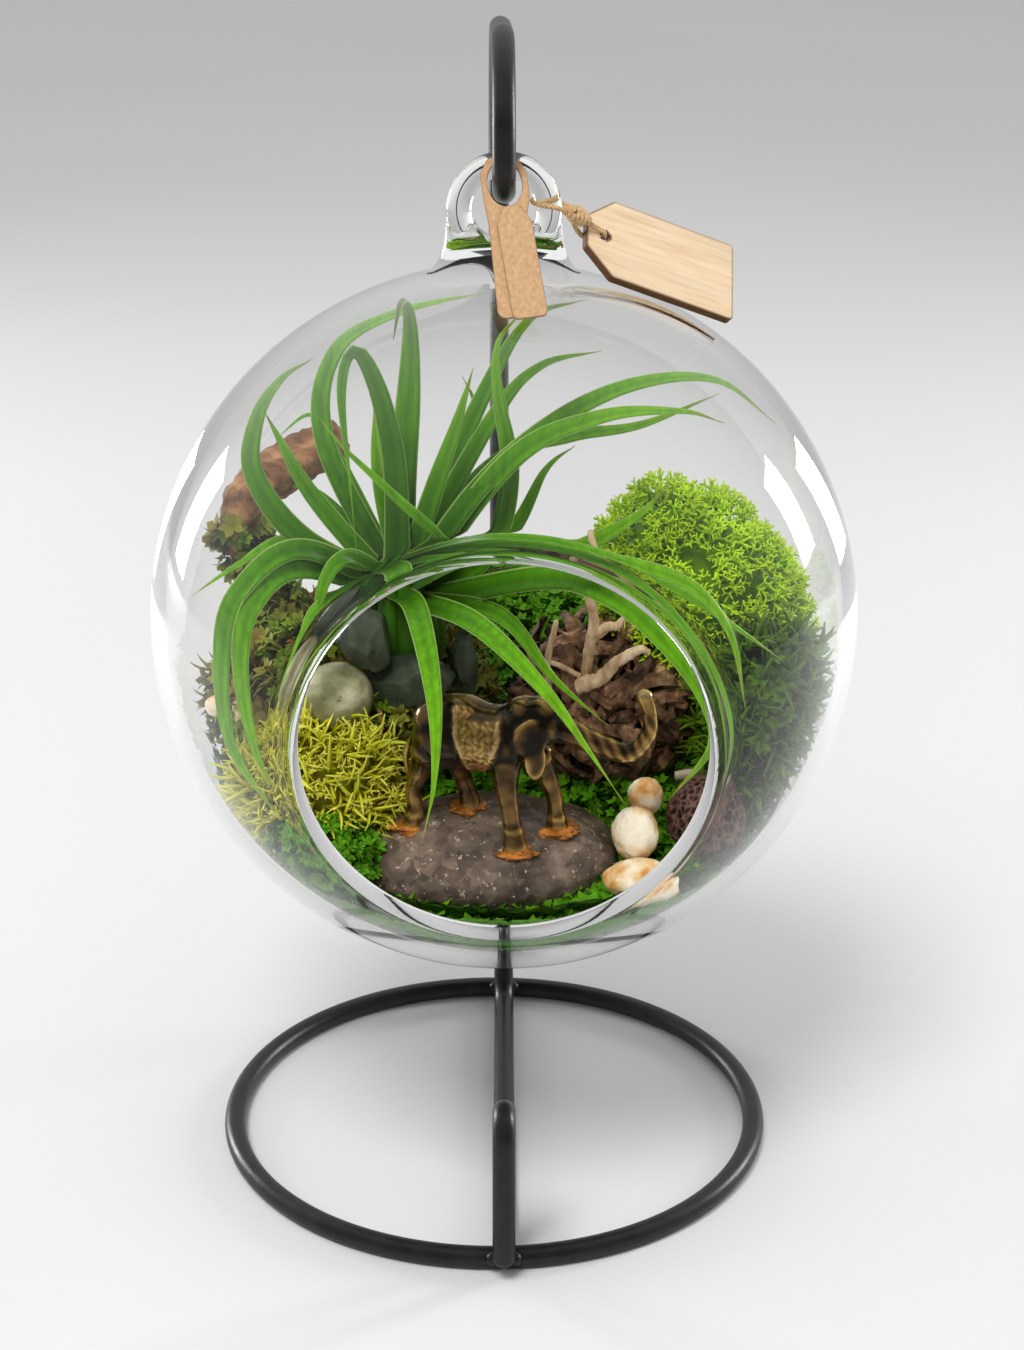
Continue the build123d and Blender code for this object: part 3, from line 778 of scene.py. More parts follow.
def barkStrip(seed, curl, rings=6, width=0.15, thickness=0.05):
    # A torn strip of bark, one unit long, rolled across its width
    chance = np.random.default_rng(seed)
    points = []
    for along in np.linspace(-0.5, 0.5, rings):
        reach = width * (1 - along**2) * chance.uniform(0.75, 1.25)
        thick = thickness * chance.uniform(0.7, 1.2)
        bow = curl * (0.25 - along**2) + chance.uniform(-0.03, 0.03)
        turns = np.linspace(-1.3, 1.3, 4) + chance.uniform(-0.25, 0.25) + 0.8 * along
        ring = [(reach * math.sin(turn), reach * math.cos(turn)) for turn in turns]
        ring += [((reach - thick) * math.sin(turn), (reach - thick) * math.cos(turn)) for turn in turns[::-1]]
        points += [(along + chance.uniform(-0.05, 0.05), x, bow + z) for x, z in ring]
    points = np.array(points)
    return points, ringFaces(rings, 8) + flatEnds(rings, 8), (points[:, 2] * 2).tolist()


# One node tree scatters sprigs over a surface
def scatterTree():
    tree = bpy.data.node_groups.new("scatterSprigs", "GeometryNodeTree")
    ports = tree.interface
    ports.new_socket("Geometry", in_out="INPUT", socket_type="NodeSocketGeometry")
    keys = {}
    for name, kind in (("Sprig", "Object"), ("Spacing", "Float"), ("Seed", "Int"), ("Smallest", "Float"),
                       ("Largest", "Float"), ("Lean", "Float"), ("Finish", "Material")):
        keys[name] = ports.new_socket(name, in_out="INPUT", socket_type="NodeSocket" + kind).identifier
    ports.new_socket("Geometry", in_out="OUTPUT", socket_type="NodeSocketGeometry")
    given = tree.nodes.new("NodeGroupInput").outputs
    spread = put(tree, "GeometryNodeDistributePointsOnFaces", {"distribute_method": "POISSON"},
                 Mesh=given["Geometry"], Distance_Min=given["Spacing"], Density_Max=5e6, Seed=given["Seed"])
    sprig = put(tree, "GeometryNodeObjectInfo", Object=given["Sprig"], As_Instance=True)
    lowest = put(tree, "ShaderNodeCombineXYZ", Z=-math.pi)
    highest = put(tree, "ShaderNodeCombineXYZ", Z=math.pi)
    opposite = put(tree, "ShaderNodeMath", {"operation": "MULTIPLY"})
    fill(tree, opposite.inputs[0], given["Lean"])
    opposite.inputs[1].default_value = -1
    for axis in ("X", "Y"):
        fill(tree, lowest.inputs[axis], opposite.outputs[0])
        fill(tree, highest.inputs[axis], given["Lean"])
    swing = put(tree, "FunctionNodeRandomValue", {"data_type": "FLOAT_VECTOR"}, Seed=given["Seed"])
    fill(tree, swing.inputs[0], lowest.outputs[0])
    fill(tree, swing.inputs[1], highest.outputs[0])
    euler = put(tree, "FunctionNodeEulerToRotation", Euler=swing.outputs[0])
    turn = put(tree, "FunctionNodeRotateRotation", {"rotation_space": "LOCAL"},
               Rotation=spread.outputs["Rotation"], Rotate_By=euler.outputs[0])
    size = put(tree, "FunctionNodeRandomValue", {"data_type": "FLOAT"})
    fill(tree, size.inputs[2], given["Smallest"])
    fill(tree, size.inputs[3], given["Largest"])
    placed = put(tree, "GeometryNodeInstanceOnPoints", Points=spread.outputs["Points"],
                 Instance=sprig.outputs["Geometry"], Rotation=turn.outputs[0], Scale=size.outputs[1])
    tint = put(tree, "FunctionNodeRandomValue", {"data_type": "FLOAT"})
    stored = put(tree, "GeometryNodeStoreNamedAttribute", {"data_type": "FLOAT", "domain": "INSTANCE"},
                 Geometry=placed.outputs[0], Name="tint", Value=tint.outputs[1])
    real = put(tree, "GeometryNodeRealizeInstances", Geometry=stored.outputs[0])
    painted = put(tree, "GeometryNodeSetMaterial", Geometry=real.outputs[0], Material=given["Finish"])
    out = tree.nodes.new("NodeGroupOutput")
    tree.links.new(painted.outputs[0], out.inputs[0])
    return tree, keys


scatter, scatterKeys = scatterTree()


def keepInside(mesh, limit):
    # Nothing passes through the glass: what would is pressed flat against it
    points = np.zeros(len(mesh.vertices) * 3, np.float32)
    mesh.vertices.foreach_get("co", points)
    points = points.reshape(-1, 3)
    centre = np.array((0, 0, globeHeight / 1000), np.float32)
    reach = np.linalg.norm(points - centre, axis=1, keepdims=True)
    share = np.minimum(1, limit / 1000 / np.maximum(reach, 1e-6))
    mesh.vertices.foreach_set("co", (centre + (points - centre) * share).ravel())
    mesh.update()


def scatterPiece(name, surface, sprig, material, slotName, spacing, sizes, lean, seed, flat=False):
    points, faces, tips = sprig
    sprigMesh = newMesh(name + "Sprig", points, faces, material, {"tip": tips}, not flat)
    sprigObject = newObject(name + "Sprig", sprigMesh)
    host = newObject(name + "Host", newMesh(name + "Host", surface[0], surface[1], material))
    step = host.modifiers.new("scatter", "NODES")
    step.node_group = scatter
    given = {"Sprig": sprigObject, "Spacing": spacing / 1000, "Seed": seed, "Smallest": sizes[0],
             "Largest": sizes[1], "Lean": lean, "Finish": material}
    for key, value in given.items():
        step[scatterKeys[key]] = value
    graph = bpy.context.evaluated_depsgraph_get()
    mesh = bpy.data.meshes.new_from_object(host.evaluated_get(graph), preserve_all_data_layers=True,
                                           depsgraph=graph)
    for helper in (sprigObject, host):
        bpy.data.objects.remove(helper)
    mesh.name = name
    keepInside(mesh, innerWall - 0.4)
    addPiece(name, mesh, "globe", slotName)
    print(name, len(mesh.polygons), "faces")


# The bed of moss rises from its front to its back
bed = {
    "front": -42.0,
    "level": -41.5,
    "slope": math.tan(math.radians(19)),
    "radius": 55.4,
    "bumps": 0.7,
    "fuzz": 0.02,
    "wallFrom": 54.6,
    "topDepth": 2.5,
    "frontDepth": 6,
    "sideFrom": 54.0,
    "sideDepth": 1,
    "tuftRows": (34.5, 36.5, 38.5, 40.0),
    "tuftSpan": (205, 335),
    "tuftSteps": 60,
    "tuftLift": 0.4,
}


def bedLevel(points):
    return bed["level"] + bed["slope"] * (points[:, 1] - bed["front"])


# Clumps and stones: a centre and three radii each
mosses = {
    "left": ((-28.0, 7.0, -18.0), (25.0, 21.0, 15.0)),
    "yellow": ((-31.0, -20.0, -26.0), (14.0, 11.0, 14.5)),
    "front": ((-30.5, -30.0, -32.5), (9.5, 9.0, 7.5)),
    "lime": ((35.0, 12.0, -2.0), (19.0, 16.0, 20.0)),
    "fern": ((46.0, -9.0, -15.0), (12.0, 14.0, 15.0)),
}
mossSlope = {"lime": -0.35}
mossSeed = {"lime": 3, "yellow": 4, "front": 5, "fern": 6, "left": 7}
stones = {
    "river": ((-2.5, -24.2, -34.5), (22.8, 15.6, 10.0)),
    "pebble": ((-28.0, -14.0, -9.5), (6.1, 6.0, 6.0)),
    "lava": ((33.4, -23.4, -27.8), (6.6, 5.6, 8.0)),
}


def lumpShape(centre, radii, seed, rough, wall, detail=5, slope=0.0):
    # An uneven lump, pressed against the glass where it reaches it
    points, faces = ball(detail)
    reach = 1 + rough * uneven(points, 2.4, 3, seed)
    points = points * reach[:, None] * radii + centre
    points[:, 2] += slope * (points[:, 0] - centre[0])
    away = np.linalg.norm(points, axis=1, keepdims=True)
    return points * np.minimum(1, wall / np.maximum(away, 0.001)), faces


def showing(shape, others=(), margin=0.5):
    # The part of a lump above the bed and outside its neighbours
    points, faces = shape
    middles = faceMiddles(points, faces)
    keep = middles[:, 2] > bedLevel(middles) + margin
    for centre, radii in others:
        keep &= outside(middles, centre, radii, 0.85)
    return fromGlobe(points), kept(faces, keep)


def clump(key, shrink, rough, wall, detail=5):
    centre, radii = mosses[key]
    smaller = np.array(radii) - shrink
    return lumpShape(centre, smaller, mossSeed[key], rough, wall, detail, mossSlope.get(key, 0.0))


def corePiece(name, key, material, slotName, node, shrink, wall):
    # A lump inside the clump in its darkest colour, as painted shade seen between its sprigs
    points, faces = clump(key, shrink, 0.05, wall, 4)
    points[:, 2] = np.maximum(points[:, 2], bedLevel(points) - 1.5)
    values = {"tip": np.full(len(points), 0.08), "tint": np.full(len(points), 0.3)}
    solidPiece(name, (fromGlobe(points), faces), material, "globe", slotName, node, values=values)


def makeMosses():
    corePiece("limeCore", "lime", limeMoss, "lime_moss", "reindeer_moss_lime", 3.2, 53.0)
    corePiece("yellowCore", "yellow", yellowMoss, "yellow_moss", "reindeer_moss_yellow", 2.2, 53.5)
    corePiece("frontCore", "front", greenMoss, "green_moss", "cushion_moss_front", 0.8, 54.5)
    corePiece("fernCore", "fern", darkMoss, "dark_moss", "fern_moss_right", 2.5, 52.5)
    corePiece("leftCore", "left", litterMoss, "dark_moss", "moss_mound_left", 1.0, 53.5)
    lime = showing(clump("lime", 2.6, 0.12, 53.0), [mosses["fern"]])
    yellow = showing(clump("yellow", 1.6, 0.12, 54.0), [stones["river"], stones["pebble"]])
    front = showing(clump("front", 0.3, 0.14, 55.5), [stones["river"], mosses["yellow"]], -1.0)
    fern = showing(clump("fern", 1.6, 0.14, 52.0), [mosses["lime"], stones["lava"]], -1.0)
    left = showing(clump("left", 0.5, 0.12, 53.5), [mosses["yellow"], stones["pebble"]])
    scatterPiece("limeSprigsA", lime, branchSprig(11, levels=4, length=1.75, thickness=0.4, spread=0.8),
                 limeMoss, "lime_moss", spacing=2.3, sizes=(0.75, 1.25), lean=0.6, seed=1)
    scatterPiece("limeSprigsB", lime, branchSprig(12, levels=4, length=1.6, thickness=0.36, spread=1.0),
                 limeMoss, "lime_moss", spacing=2.5, sizes=(0.7, 1.3), lean=0.9, seed=2)
    threads = strandSprig(21, strands=3, length=7.0, thickness=0.42, curl=0.62, flat=0.7, steps=6)
    scatterPiece("yellowSprigsA", yellow, threads,
                 yellowMoss, "yellow_moss", spacing=1.9, sizes=(0.7, 1.2), lean=1.2, seed=3)
    scatterPiece("yellowSprigsB", yellow, branchSprig(22, levels=4, length=1.5, thickness=0.36, spread=1.0),
                 yellowMoss, "yellow_moss", spacing=2.3, sizes=(0.7, 1.2), lean=0.9, seed=4)
    scatterPiece("frontSprigs", front, leafySprig(31, whorls=3, reach=1.0, width=0.34),
                 greenMoss, "green_moss", spacing=0.95, sizes=(0.7, 1.5), lean=0.8, seed=5)
    fronds = strandSprig(41, strands=4, length=6.5, thickness=0.62, curl=0.22, flat=0.3)
    scatterPiece("fernSprigsA", fern, fronds,
                 darkMoss, "dark_moss", spacing=1.9, sizes=(0.6, 1.3), lean=0.7, seed=6)
    scatterPiece("fernSprigsB", fern, leafySprig(42, whorls=3, reach=1.7, width=0.5),
                 darkMoss, "dark_moss", spacing=1.9, sizes=(0.7, 1.4), lean=0.9, seed=7)
    scatterPiece("leftSprigs", left, leafySprig(51, whorls=3, reach=1.7, width=0.55),
                 litterMoss, "dark_moss", spacing=2.1, sizes=(0.7, 1.5), lean=0.8, seed=8)
    scatterPiece("leftStrands", left, strandSprig(52, strands=3, length=5.0, thickness=0.3, curl=0.6),
                 litterMoss, "dark_moss", spacing=3.0, sizes=(0.7, 1.3), lean=1.0, seed=9)
    scatterPiece("leftFlakes", left, barkStrip(53, curl=0.5),
                 driedLeaf, "dark_moss", spacing=4.2, sizes=(2.5, 5.0), lean=1.2, seed=11, flat=True)


makeMosses()


def makeBed(values):
    points, faces = ball(6)
    points = points * values["radius"]
    level = bedLevel(points) + values["bumps"] * uneven(points, 0.12, 3, 8)
    points[:, 2] = np.minimum(points[:, 2], level)
    reach = np.maximum(np.linalg.norm(points, axis=1, keepdims=True), 0.001)
    fuzz = np.clip(0.5 + 0.8 * uneven(points, 0.5, 4, 12), 0, 1)
    tint = np.clip(0.4 + uneven(points, 0.1, 2, 13), 0, 1)
    inside = np.minimum(1, values["radius"] / reach) * (1 - values["fuzz"] * fuzz)[:, None]
    # Where the surface sinks in it is painted darker, as shade in the hollows
    solidPiece("mossBed", (fromGlobe(points * inside), faces), darkMoss, "globe", "dark_moss", "moss_bed",
               values={"tip": 0.1 + 0.5 * (1 - fuzz), "tint": tint})
    # Sprigs on the top, clear of the stones, and on the wall at the front
    middles = faceMiddles(points, faces)
    away = np.linalg.norm(middles, axis=1)
    above = middles[:, 2] - bedLevel(middles)
    top = (above > -values["topDepth"]) & (away < values["wallFrom"])
    for name in ("river", "lava"):
        top &= outside(middles, *stones[name])
    frontWall = (above > -values["frontDepth"]) & (away >= values["wallFrom"]) & (middles[:, 1] < 0)
    scatterPiece("bedSprigs", (fromGlobe(points), kept(faces, top | frontWall)),
                 leafySprig(61, whorls=3, reach=1.1, width=0.38),
                 greenMoss, "dark_moss", spacing=1.4, sizes=(0.7, 1.5), lean=0.8, seed=10)
    # Larger tufts along the front edge
    steps = values["tuftSteps"]
    turns = np.radians(np.linspace(*values["tuftSpan"], steps))
    rows = []
    for reach in values["tuftRows"]:
        row = np.column_stack([reach * np.cos(turns), reach * np.sin(turns), np.zeros(steps)])
        row[:, 2] = bedLevel(row) + values["tuftLift"]
        rows.append(row)
    strip = [(near, near + steps, near + steps + 1, near + 1)
             for row in range(len(rows) - 1) for near in range(row * steps, row * steps + steps - 1)]
    scatterPiece("frontTufts", (fromGlobe(np.vstack(rows)), strip),
                 leafySprig(62, whorls=3, reach=1.3, width=0.42),
                 greenMoss, "dark_moss", spacing=1.2, sizes=(1.5, 2.4), lean=0.7, seed=12)
    wall = (middles[:, 2] < bedLevel(middles) - values["sideDepth"]) & (away >= values["sideFrom"])
    scatterPiece("wallSprigs", (fromGlobe(points), kept(faces, wall)),
                 leafySprig(63, whorls=2, reach=1.2, width=0.5),
                 darkMoss, "dark_moss", spacing=1.9, sizes=(1.2, 2.0), lean=1.1, seed=13)


makeBed(bed)


# Stones
greyStones = [
    ((-22.9, -12.6, -0.1), (4.6, 4.0, 5.2)), ((-15.5, -10.5, -8.0), (7.2, 4.6, 4.2)),
    ((-6.8, -8.6, -5.6), (2.3, 2.7, 6.2)),
]
creamPebbles = [
    ((21.5, -29.4, -27.6), (3.9, 3.6, 4.7)), ((23.6, -21.5, -24.2), (3.0, 3.0, 3.2)),
    ((22.1, -35.0, -33.2), (6.0, 3.4, 3.5)), ((22.8, -31.0, -37.2), (4.2, 2.2, 1.5)),
]
wallPebbles = [((-49.3, -5.5, -14.5), (2.3, 2.0, 2.0)), ((-44.8, -7.5, -14.5), (1.8, 1.9, 2.7))]
lavaPits = {"cells": 4.6, "wander": 0.12, "ridgeWidth": 0.45, "depth": 0.085}


def stoneShape(centre, radii, seed, bumps, fine, facets=0, detail=6):
    # A rounded stone, or one split along a few flat planes
    points, faces = ball(detail)
    reach = np.ones(len(points))
    if facets:
        chance = np.random.default_rng(seed)
        planes = unit(chance.normal(size=(facets, 3)))
        depths = chance.uniform(0.72, 0.96, facets)
        lean = points @ planes.T
        reach = np.minimum(np.where(lean > 0.05, depths / np.maximum(lean, 0.05), 9).min(axis=1), 1.1)
    reach = reach + bumps * uneven(points, 1.5, 3, seed) + fine * uneven(points, 9, 3, seed + 5)
    return fromGlobe(points * reach[:, None] * radii + centre), faces


def pittedShape(centre, radii, seed, pits):
    # Ridges between the cells stay, the cells sink in as pits
    noise.seed_set(seed)  # noise_vector would otherwise differ from run to run
    points, faces = ball(6)
    reach = 1 + 0.05 * uneven(points, 2, 3, seed)
    ridge = np.zeros(len(points))
    for index, point in enumerate(points):
        place = Vector(point) + pits["wander"] * noise.noise_vector(Vector(point) * 3)
        near = noise.voronoi(place * pits["cells"] + Vector((seed, 0, 0)))[0]
        ridge[index] = 1 - min(1, (near[1] - near[0]) / pits["ridgeWidth"])
    reach += pits["depth"] * ridge - pits["depth"]
    return fromGlobe(points * reach[:, None] * radii + centre), faces, ridge


def stoneGroup(group, firstSeed, bumps, fine, facets=0):
    return merge([stoneShape(*size, firstSeed + index, bumps, fine, facets, detail=5)
                  for index, size in enumerate(group)])


def makeStones():
    river = stoneShape(*stones["river"], seed=2, bumps=0.05, fine=0.008)
    solidPiece("riverStone", river, riverStone, "globe", "grey_stone", "river_stone")
    pebble = stoneShape(*stones["pebble"], seed=3, bumps=0.03, fine=0.004)
    solidPiece("roundPebble", pebble, mossyPebble, "globe", "grey_stone", "round_pebble")
    points, faces, ridge = pittedShape(*stones["lava"], seed=4, pits=lavaPits)
    solidPiece("lavaStone", (points, faces), lavaStone, "globe", "lava", "lava_stone",
               values={"ridge": ridge})
    slates = stoneGroup(greyStones, 20, bumps=0.05, fine=0.008, facets=9)
    solidPiece("greyStones", slates, slateStone, "globe", "grey_stone", "grey_stones")
    pebbles = stoneGroup(creamPebbles, 30, bumps=0.08, fine=0.008)
    solidPiece("creamPebbles", pebbles, creamStone, "globe", "cream_stone", "cream_pebbles")
    small = stoneGroup(wallPebbles, 40, bumps=0.08, fine=0.01)
    solidPiece("wallPebbles", small, creamStone, "globe", "cream_stone", "wall_pebbles")
    print("stones made")


makeStones()


# Wood: bark heap, twigs, driftwood; a limb is its line and the radii along it
barkHeap = {
    "centre": (17.0, 4.0, -18.5),
    "radii": np.array((16.0, 14.0, 15.0)),
    "wall": 54,
    "seed": 9,
    "coreDepth": 4.6,
    "stripDepth": 2.4,
    # Spacing, smallest and largest strip of each layer
    "layers": {"A": (3.6, 8.0, 13.0), "B": (2.8, 5.0, 8.0), "C": (2.2, 2.5, 4.5)},
}
twigLimbs = [
    ([(13.8, -6.0, -11.0), (14.2, -7.6, -5.0), (15.1, -9.0, 2.4), (14.0, -9.4, 8.0), (14.9, -9.2, 13.5),
      (14.2, -9.0, 18.2)], [1.2, 1.0, 0.95, 0.75, 0.7, 0.5]),
    ([(15.0, -8.8, -0.5), (17.0, -9.4, 1.3), (19.1, -9.2, 1.6), (20.0, -9.4, 3.0)], [0.8, 0.7, 0.75, 0.4]),
    ([(12.4, -8.4, -9.6), (16.0, -9.4, -8.2), (19.0, -9.6, -5.0), (22.8, -10.0, -2.6), (24.5, -9.6, -3.4)],
     [1.4, 1.3, 1.1, 0.95, 0.6]),
    ([(7.6, -4.6, -13.5), (7.4, -6.2, -6.0), (8.9, -7.0, 1.7)], [0.7, 0.65, 0.45]),
    ([(7.4, -6.2, -6.0), (9.4, -7.2, -6.4), (13.0, -8.2, -8.0)], [0.5, 0.45, 0.5]),
]
driftLimb = ([(-36.0, 24.0, -12.0), (-46.0, 15.0, 8.0), (-43.0, 14.0, 19.0), (-29.0, 22.0, 26.0)],
             [1.0, 2.2, 4.4, 3.6])
driftMossTop = 12
paleLimb = ([(29.0, -13.5, -24.0), (34.0, -13.8, -23.6), (40.0, -12.5, -24.5)], [0.7, 1.9, 1.3])


def limbShape(points, radii, seed, knobs, sides=14, ridges=0.0, lastEnd=0.4):
    # A knobbly branch, with ridges along it
    line = smoothLine(points, 14 * len(points))
    thick = limbRadii(radii, len(line))
    thick[-1] = thick[-1] * lastEnd
    skin, faces = tube(fromGlobe(line), thick, sides)
    middle = np.vstack([np.repeat(fromGlobe(line), sides, axis=0), fromGlobe(line[[0, -1]])])
    swell = 1 + knobs * uneven(skin, 0.35, 3, seed) + 0.5 * knobs * uneven(skin, 1.6, 2, seed + 1)
    turns = np.append(np.tile(np.arange(sides), len(line)), [0, 0]) * 2 * math.pi / sides
    swell += ridges * (np.sin(4 * turns) + 0.6 * np.sin(9 * turns + 2))
    return middle + (skin - middle) * swell[:, None], faces


def heapShape(heap, depth, rough):
    return lumpShape(heap["centre"], heap["radii"] - depth, heap["seed"], rough, heap["wall"])


def makeWood(heap):
    twigs = merge([limbShape(*limb, seed=60 + index, knobs=0.25) for index, limb in enumerate(twigLimbs)])
    solidPiece("forkedTwigs", twigs, twigWood, "globe", "bark", "forked_twigs")
    points, faces = limbShape(*driftLimb, seed=70, knobs=0.2, sides=36, ridges=0.07, lastEnd=0.9)
    solidPiece("driftwood", (points, faces), driftBrown, "globe", "bark", "driftwood")
    low = [face for face in faces if points[face[0], 2] < globeHeight + driftMossTop]
    scatterPiece("driftSprigs", (points, low), leafySprig(72, whorls=3, reach=1.8, width=0.6),
                 litterMoss, "dark_moss", spacing=2.0, sizes=(0.8, 1.6), lean=1.0, seed=23)
    stick = limbShape(*paleLimb, seed=71, knobs=0.25)
    solidPiece("paleWood", stick, paleWood, "globe", "pale_wood", "pale_wood")
    points, faces = heapShape(heap, heap["coreDepth"], 0.12)
    # The core is painted at its darkest, as the shade in the gaps between the strips
    values = {"tint": np.full(len(points), 0.0), "tip": np.full(len(points), 0.2)}
    solidPiece("barkCore", (fromGlobe(points), faces), barkBrown, "globe", "bark", "bark_heap", values=values)
    surface = showing(heapShape(heap, heap["stripDepth"], 0.16), [mosses["lime"]], -1.0)
    for index, (layer, (spacing, *sizes)) in enumerate(heap["layers"].items()):
        scatterPiece("barkFlakes" + layer, surface, barkStrip(80 + index, curl=0.7),
                     barkBrown, "bark", spacing, sizes, lean=1.3, seed=20 + index, flat=True)


makeWood(barkHeap)


# Bronze elephant: limbs and balls fused into one skin, then chased
elephantLimbs = [
    ([(-9.4, -27.4, -10.8), (0.4, -30.2, -10.2)], [5.6, 5.4]),
    ([(-10.5, -27.4, -8.6), (-7.0, -28.0, -7.6), (-4.0, -28.6, -8.6)], [4.4, 4.0, 4.0]),
    ([(3.4, -31.0, -6.4), (6.0, -31.4, -5.6)], [3.6, 3.0]),
    ([(2.0, -30.6, -8.8), (6.6, -31.5, -7.4)], [4.8, 3.4]),
    ([(8.5, -31.8, -7.6), (12.3, -32.3, -9.2), (15.4, -32.5, -10.6), (20.2, -33.0, -11.6),
      (23.0, -33.0, -8.6), (23.3, -33.0, -5.2), (22.4, -33.0, -2.1)], [2.4, 2.1, 1.8, 1.6, 1.4, 1.2, 1.35]),
    ([(0.2, -32.5, -13.0), (0.3, -33.2, -17.0), (0.8, -33.9, -20.5), (1.4, -34.3, -24.5),
      (1.8, -34.5, -27.6)], [2.9, 2.1, 1.6, 1.5, 2.1]),
    ([(5.5, -29.0, -14.0), (7.0, -29.4, -17.5), (8.2, -29.5, -21.0), (8.5, -29.4, -24.0),
      (8.7, -29.3, -26.2)], [2.8, 1.9, 1.45, 1.4, 1.9]),
    ([(-12.0, -28.5, -13.0), (-13.8, -28.2, -17.0), (-14.9, -27.8, -20.5), (-14.6, -27.8, -23.5),
      (-15.1, -27.8, -26.4)], [3.2, 2.0, 1.35, 1.3, 1.8]),
    ([(-8.0, -25.5, -14.0), (-7.4, -25.0, -17.0), (-6.6, -24.6, -20.0), (-5.9, -24.7, -22.4),
      (-5.6, -24.8, -24.2)], [2.9, 2.1, 1.6, 1.5, 1.9]),
    ([(-13.0, -27.6, -9.5), (-15.9, -26.0, -14.0), (-15.6, -26.0, -19.0)], [0.9, 0.6, 0.5]),
]
elephant = {
    "sides": 24,
    # Each ear is two flattened balls: radii, then place along and up
    "ear": [((2.9, 0.75, 3.3), (4.2, -8.6)), ((1.8, 0.65, 3.6), (5.0, -12.2))],
    "headMiddle": -31.0,
    "earApart": 3.9,
    "earFlare": 0.2,
    "voxel": 0.0003,
    "soften": 0.5,
    "softenTimes": 6,
    "clothMiddle": -4.4,
    "clothHalf": 4.2,
    "clothPoint": -17.5,
    "clothDrop": 9,
    "ankle": -24.4,
    "rough": 0.03,
    "blurTimes": 14,
    "wear": 0.33,
    "wearGain": 3.0,
    "proudFrom": 0.1,
    "proudRange": (-0.06, 0.22),
}
gluedFeet = [(1.8, -34.5, -28.4), (8.7, -29.3, -26.9), (-15.1, -27.8, -27.0), (-5.6, -24.8, -24.8)]
glueDab = (3.4, 2.9, 0.85)


def elephantParts(values):
    shapes = []
    ballPoints, ballFaces = ball(4)
    for points, radii in elephantLimbs:
        line = smoothLine(points, 12 * len(points))
        thick = limbRadii(radii, len(line))
        shapes.append(tube(line, thick, values["sides"]))
        for end in (0, -1):
            shapes.append((ballPoints * thick[end] + line[end], ballFaces))
    for side in (-1, 1):
        for reach, place in values["ear"]:
            ear = ballPoints * reach
            ear[:, 1] -= values["earFlare"] * side * ear[:, 0]
            middle = (place[0], values["headMiddle"] + values["earApart"] * side, place[1])
            shapes.append((ear + middle, ballFaces))
    return merge(shapes)


def chase(points, normals, values):
    # Height of the ornament in millimetres, and how much gold it shows: a pointed cloth with a raised border
    # and a scroll in it, a band at each ankle, a back worn to gold with a painted highlight on its upward
    # faces, and rings on the trunk
    x, _, z = points.T
    hang = np.clip((z - values["clothPoint"]) / values["clothDrop"], 0, 1)
    edge = values["clothHalf"] * hang**0.6 - np.abs(x - values["clothMiddle"])
    cloth = np.clip(edge / 0.8, 0, 1) * np.clip((0.85 - normals[:, 2]) * 4, 0, 1)
    border = np.exp(-((edge - 0.8) / 0.4)**2) * cloth
    scroll = np.sin(3.4 * x + 1.6 * np.sin(2.6 * z)) * np.sin(3.1 * z + 1.6 * np.sin(2.5 * x))
    anklets = np.exp(-((z - values["ankle"]) / 0.5)**2) * (z < -18)
    # Upward faces of the back are golder: partly wear, partly a painted highlight from above
    ridge = np.clip((normals[:, 2] - 0.8) * 5, 0, 1) * (z > -9)
    rings = np.sin(3.6 * x + 1.8 * z) * np.clip(x - 11, 0, 1) * (z < -5)
    height = cloth * (0.2 + 0.1 * scroll) + 0.16 * border + 0.08 * anklets + 0.04 * rings
    gold = cloth * (0.32 + 0.1 * scroll) + 0.14 * border + 0.1 * anklets + 0.02 * rings + 0.16 * ridge
    return height, gold


def blurred(points, edges, rounds):
    for _ in range(rounds):
        total, links = np.zeros((len(points), 3)), np.zeros(len(points))
        for here, there in (edges.T, edges.T[::-1]):
            np.add.at(total, here, points[there])
            np.add.at(links, here, 1)
        points = total / links[:, None]
    return points


def makeElephant(values):
    points, faces = elephantParts(values)
    helper = newObject("elephantRough", newMesh("elephantRough", points, faces, agedBronze))
    skin = helper.modifiers.new("skin", "REMESH")
    skin.mode, skin.voxel_size = "VOXEL", values["voxel"]
    soften = helper.modifiers.new("soften", "SMOOTH")
    soften.factor, soften.iterations = values["soften"], values["softenTimes"]
    mesh = plainMesh(helper)
    count = len(mesh.vertices)
    places, normals = np.zeros(count * 3, np.float32), np.zeros(count * 3, np.float32)
    mesh.vertices.foreach_get("co", places)
    mesh.vertex_normals.foreach_get("vector", normals)
    places, normals = places.reshape(-1, 3) * 1000, normals.reshape(-1, 3)
    rough = values["rough"] * uneven(places, 0.5, 2, 5)
    ornament, gold = chase(places, normals, values)
    places = places + normals * (ornament + rough)[:, None]
    edges = np.zeros(len(mesh.edges) * 2, np.int32)
    mesh.edges.foreach_get("vertices", edges)
    # What stands proud of the blurred skin is worn
    blurredPlaces = blurred(places, edges.reshape(-1, 2), values["blurTimes"])
    proud = ((places - blurredPlaces) * normals).sum(axis=1)
    rubbed = np.clip(proud - values["proudFrom"], *values["proudRange"])
    wear = np.clip(values["wear"] + values["wearGain"] * rubbed + gold + rough, 0, 1)
    mesh.vertices.foreach_set("co", (fromGlobe(places) / 1000).astype(np.float32).ravel())
    mesh.attributes.new("wear", "FLOAT", "POINT").data.foreach_set("value", wear.astype(np.float32))
    smoothFinish(mesh, agedBronze)
    mesh.update()
    addPiece("bronzeElephant", mesh, "globe", "bronze", "bronze_elephant")
    print("elephant", len(mesh.polygons), "faces")


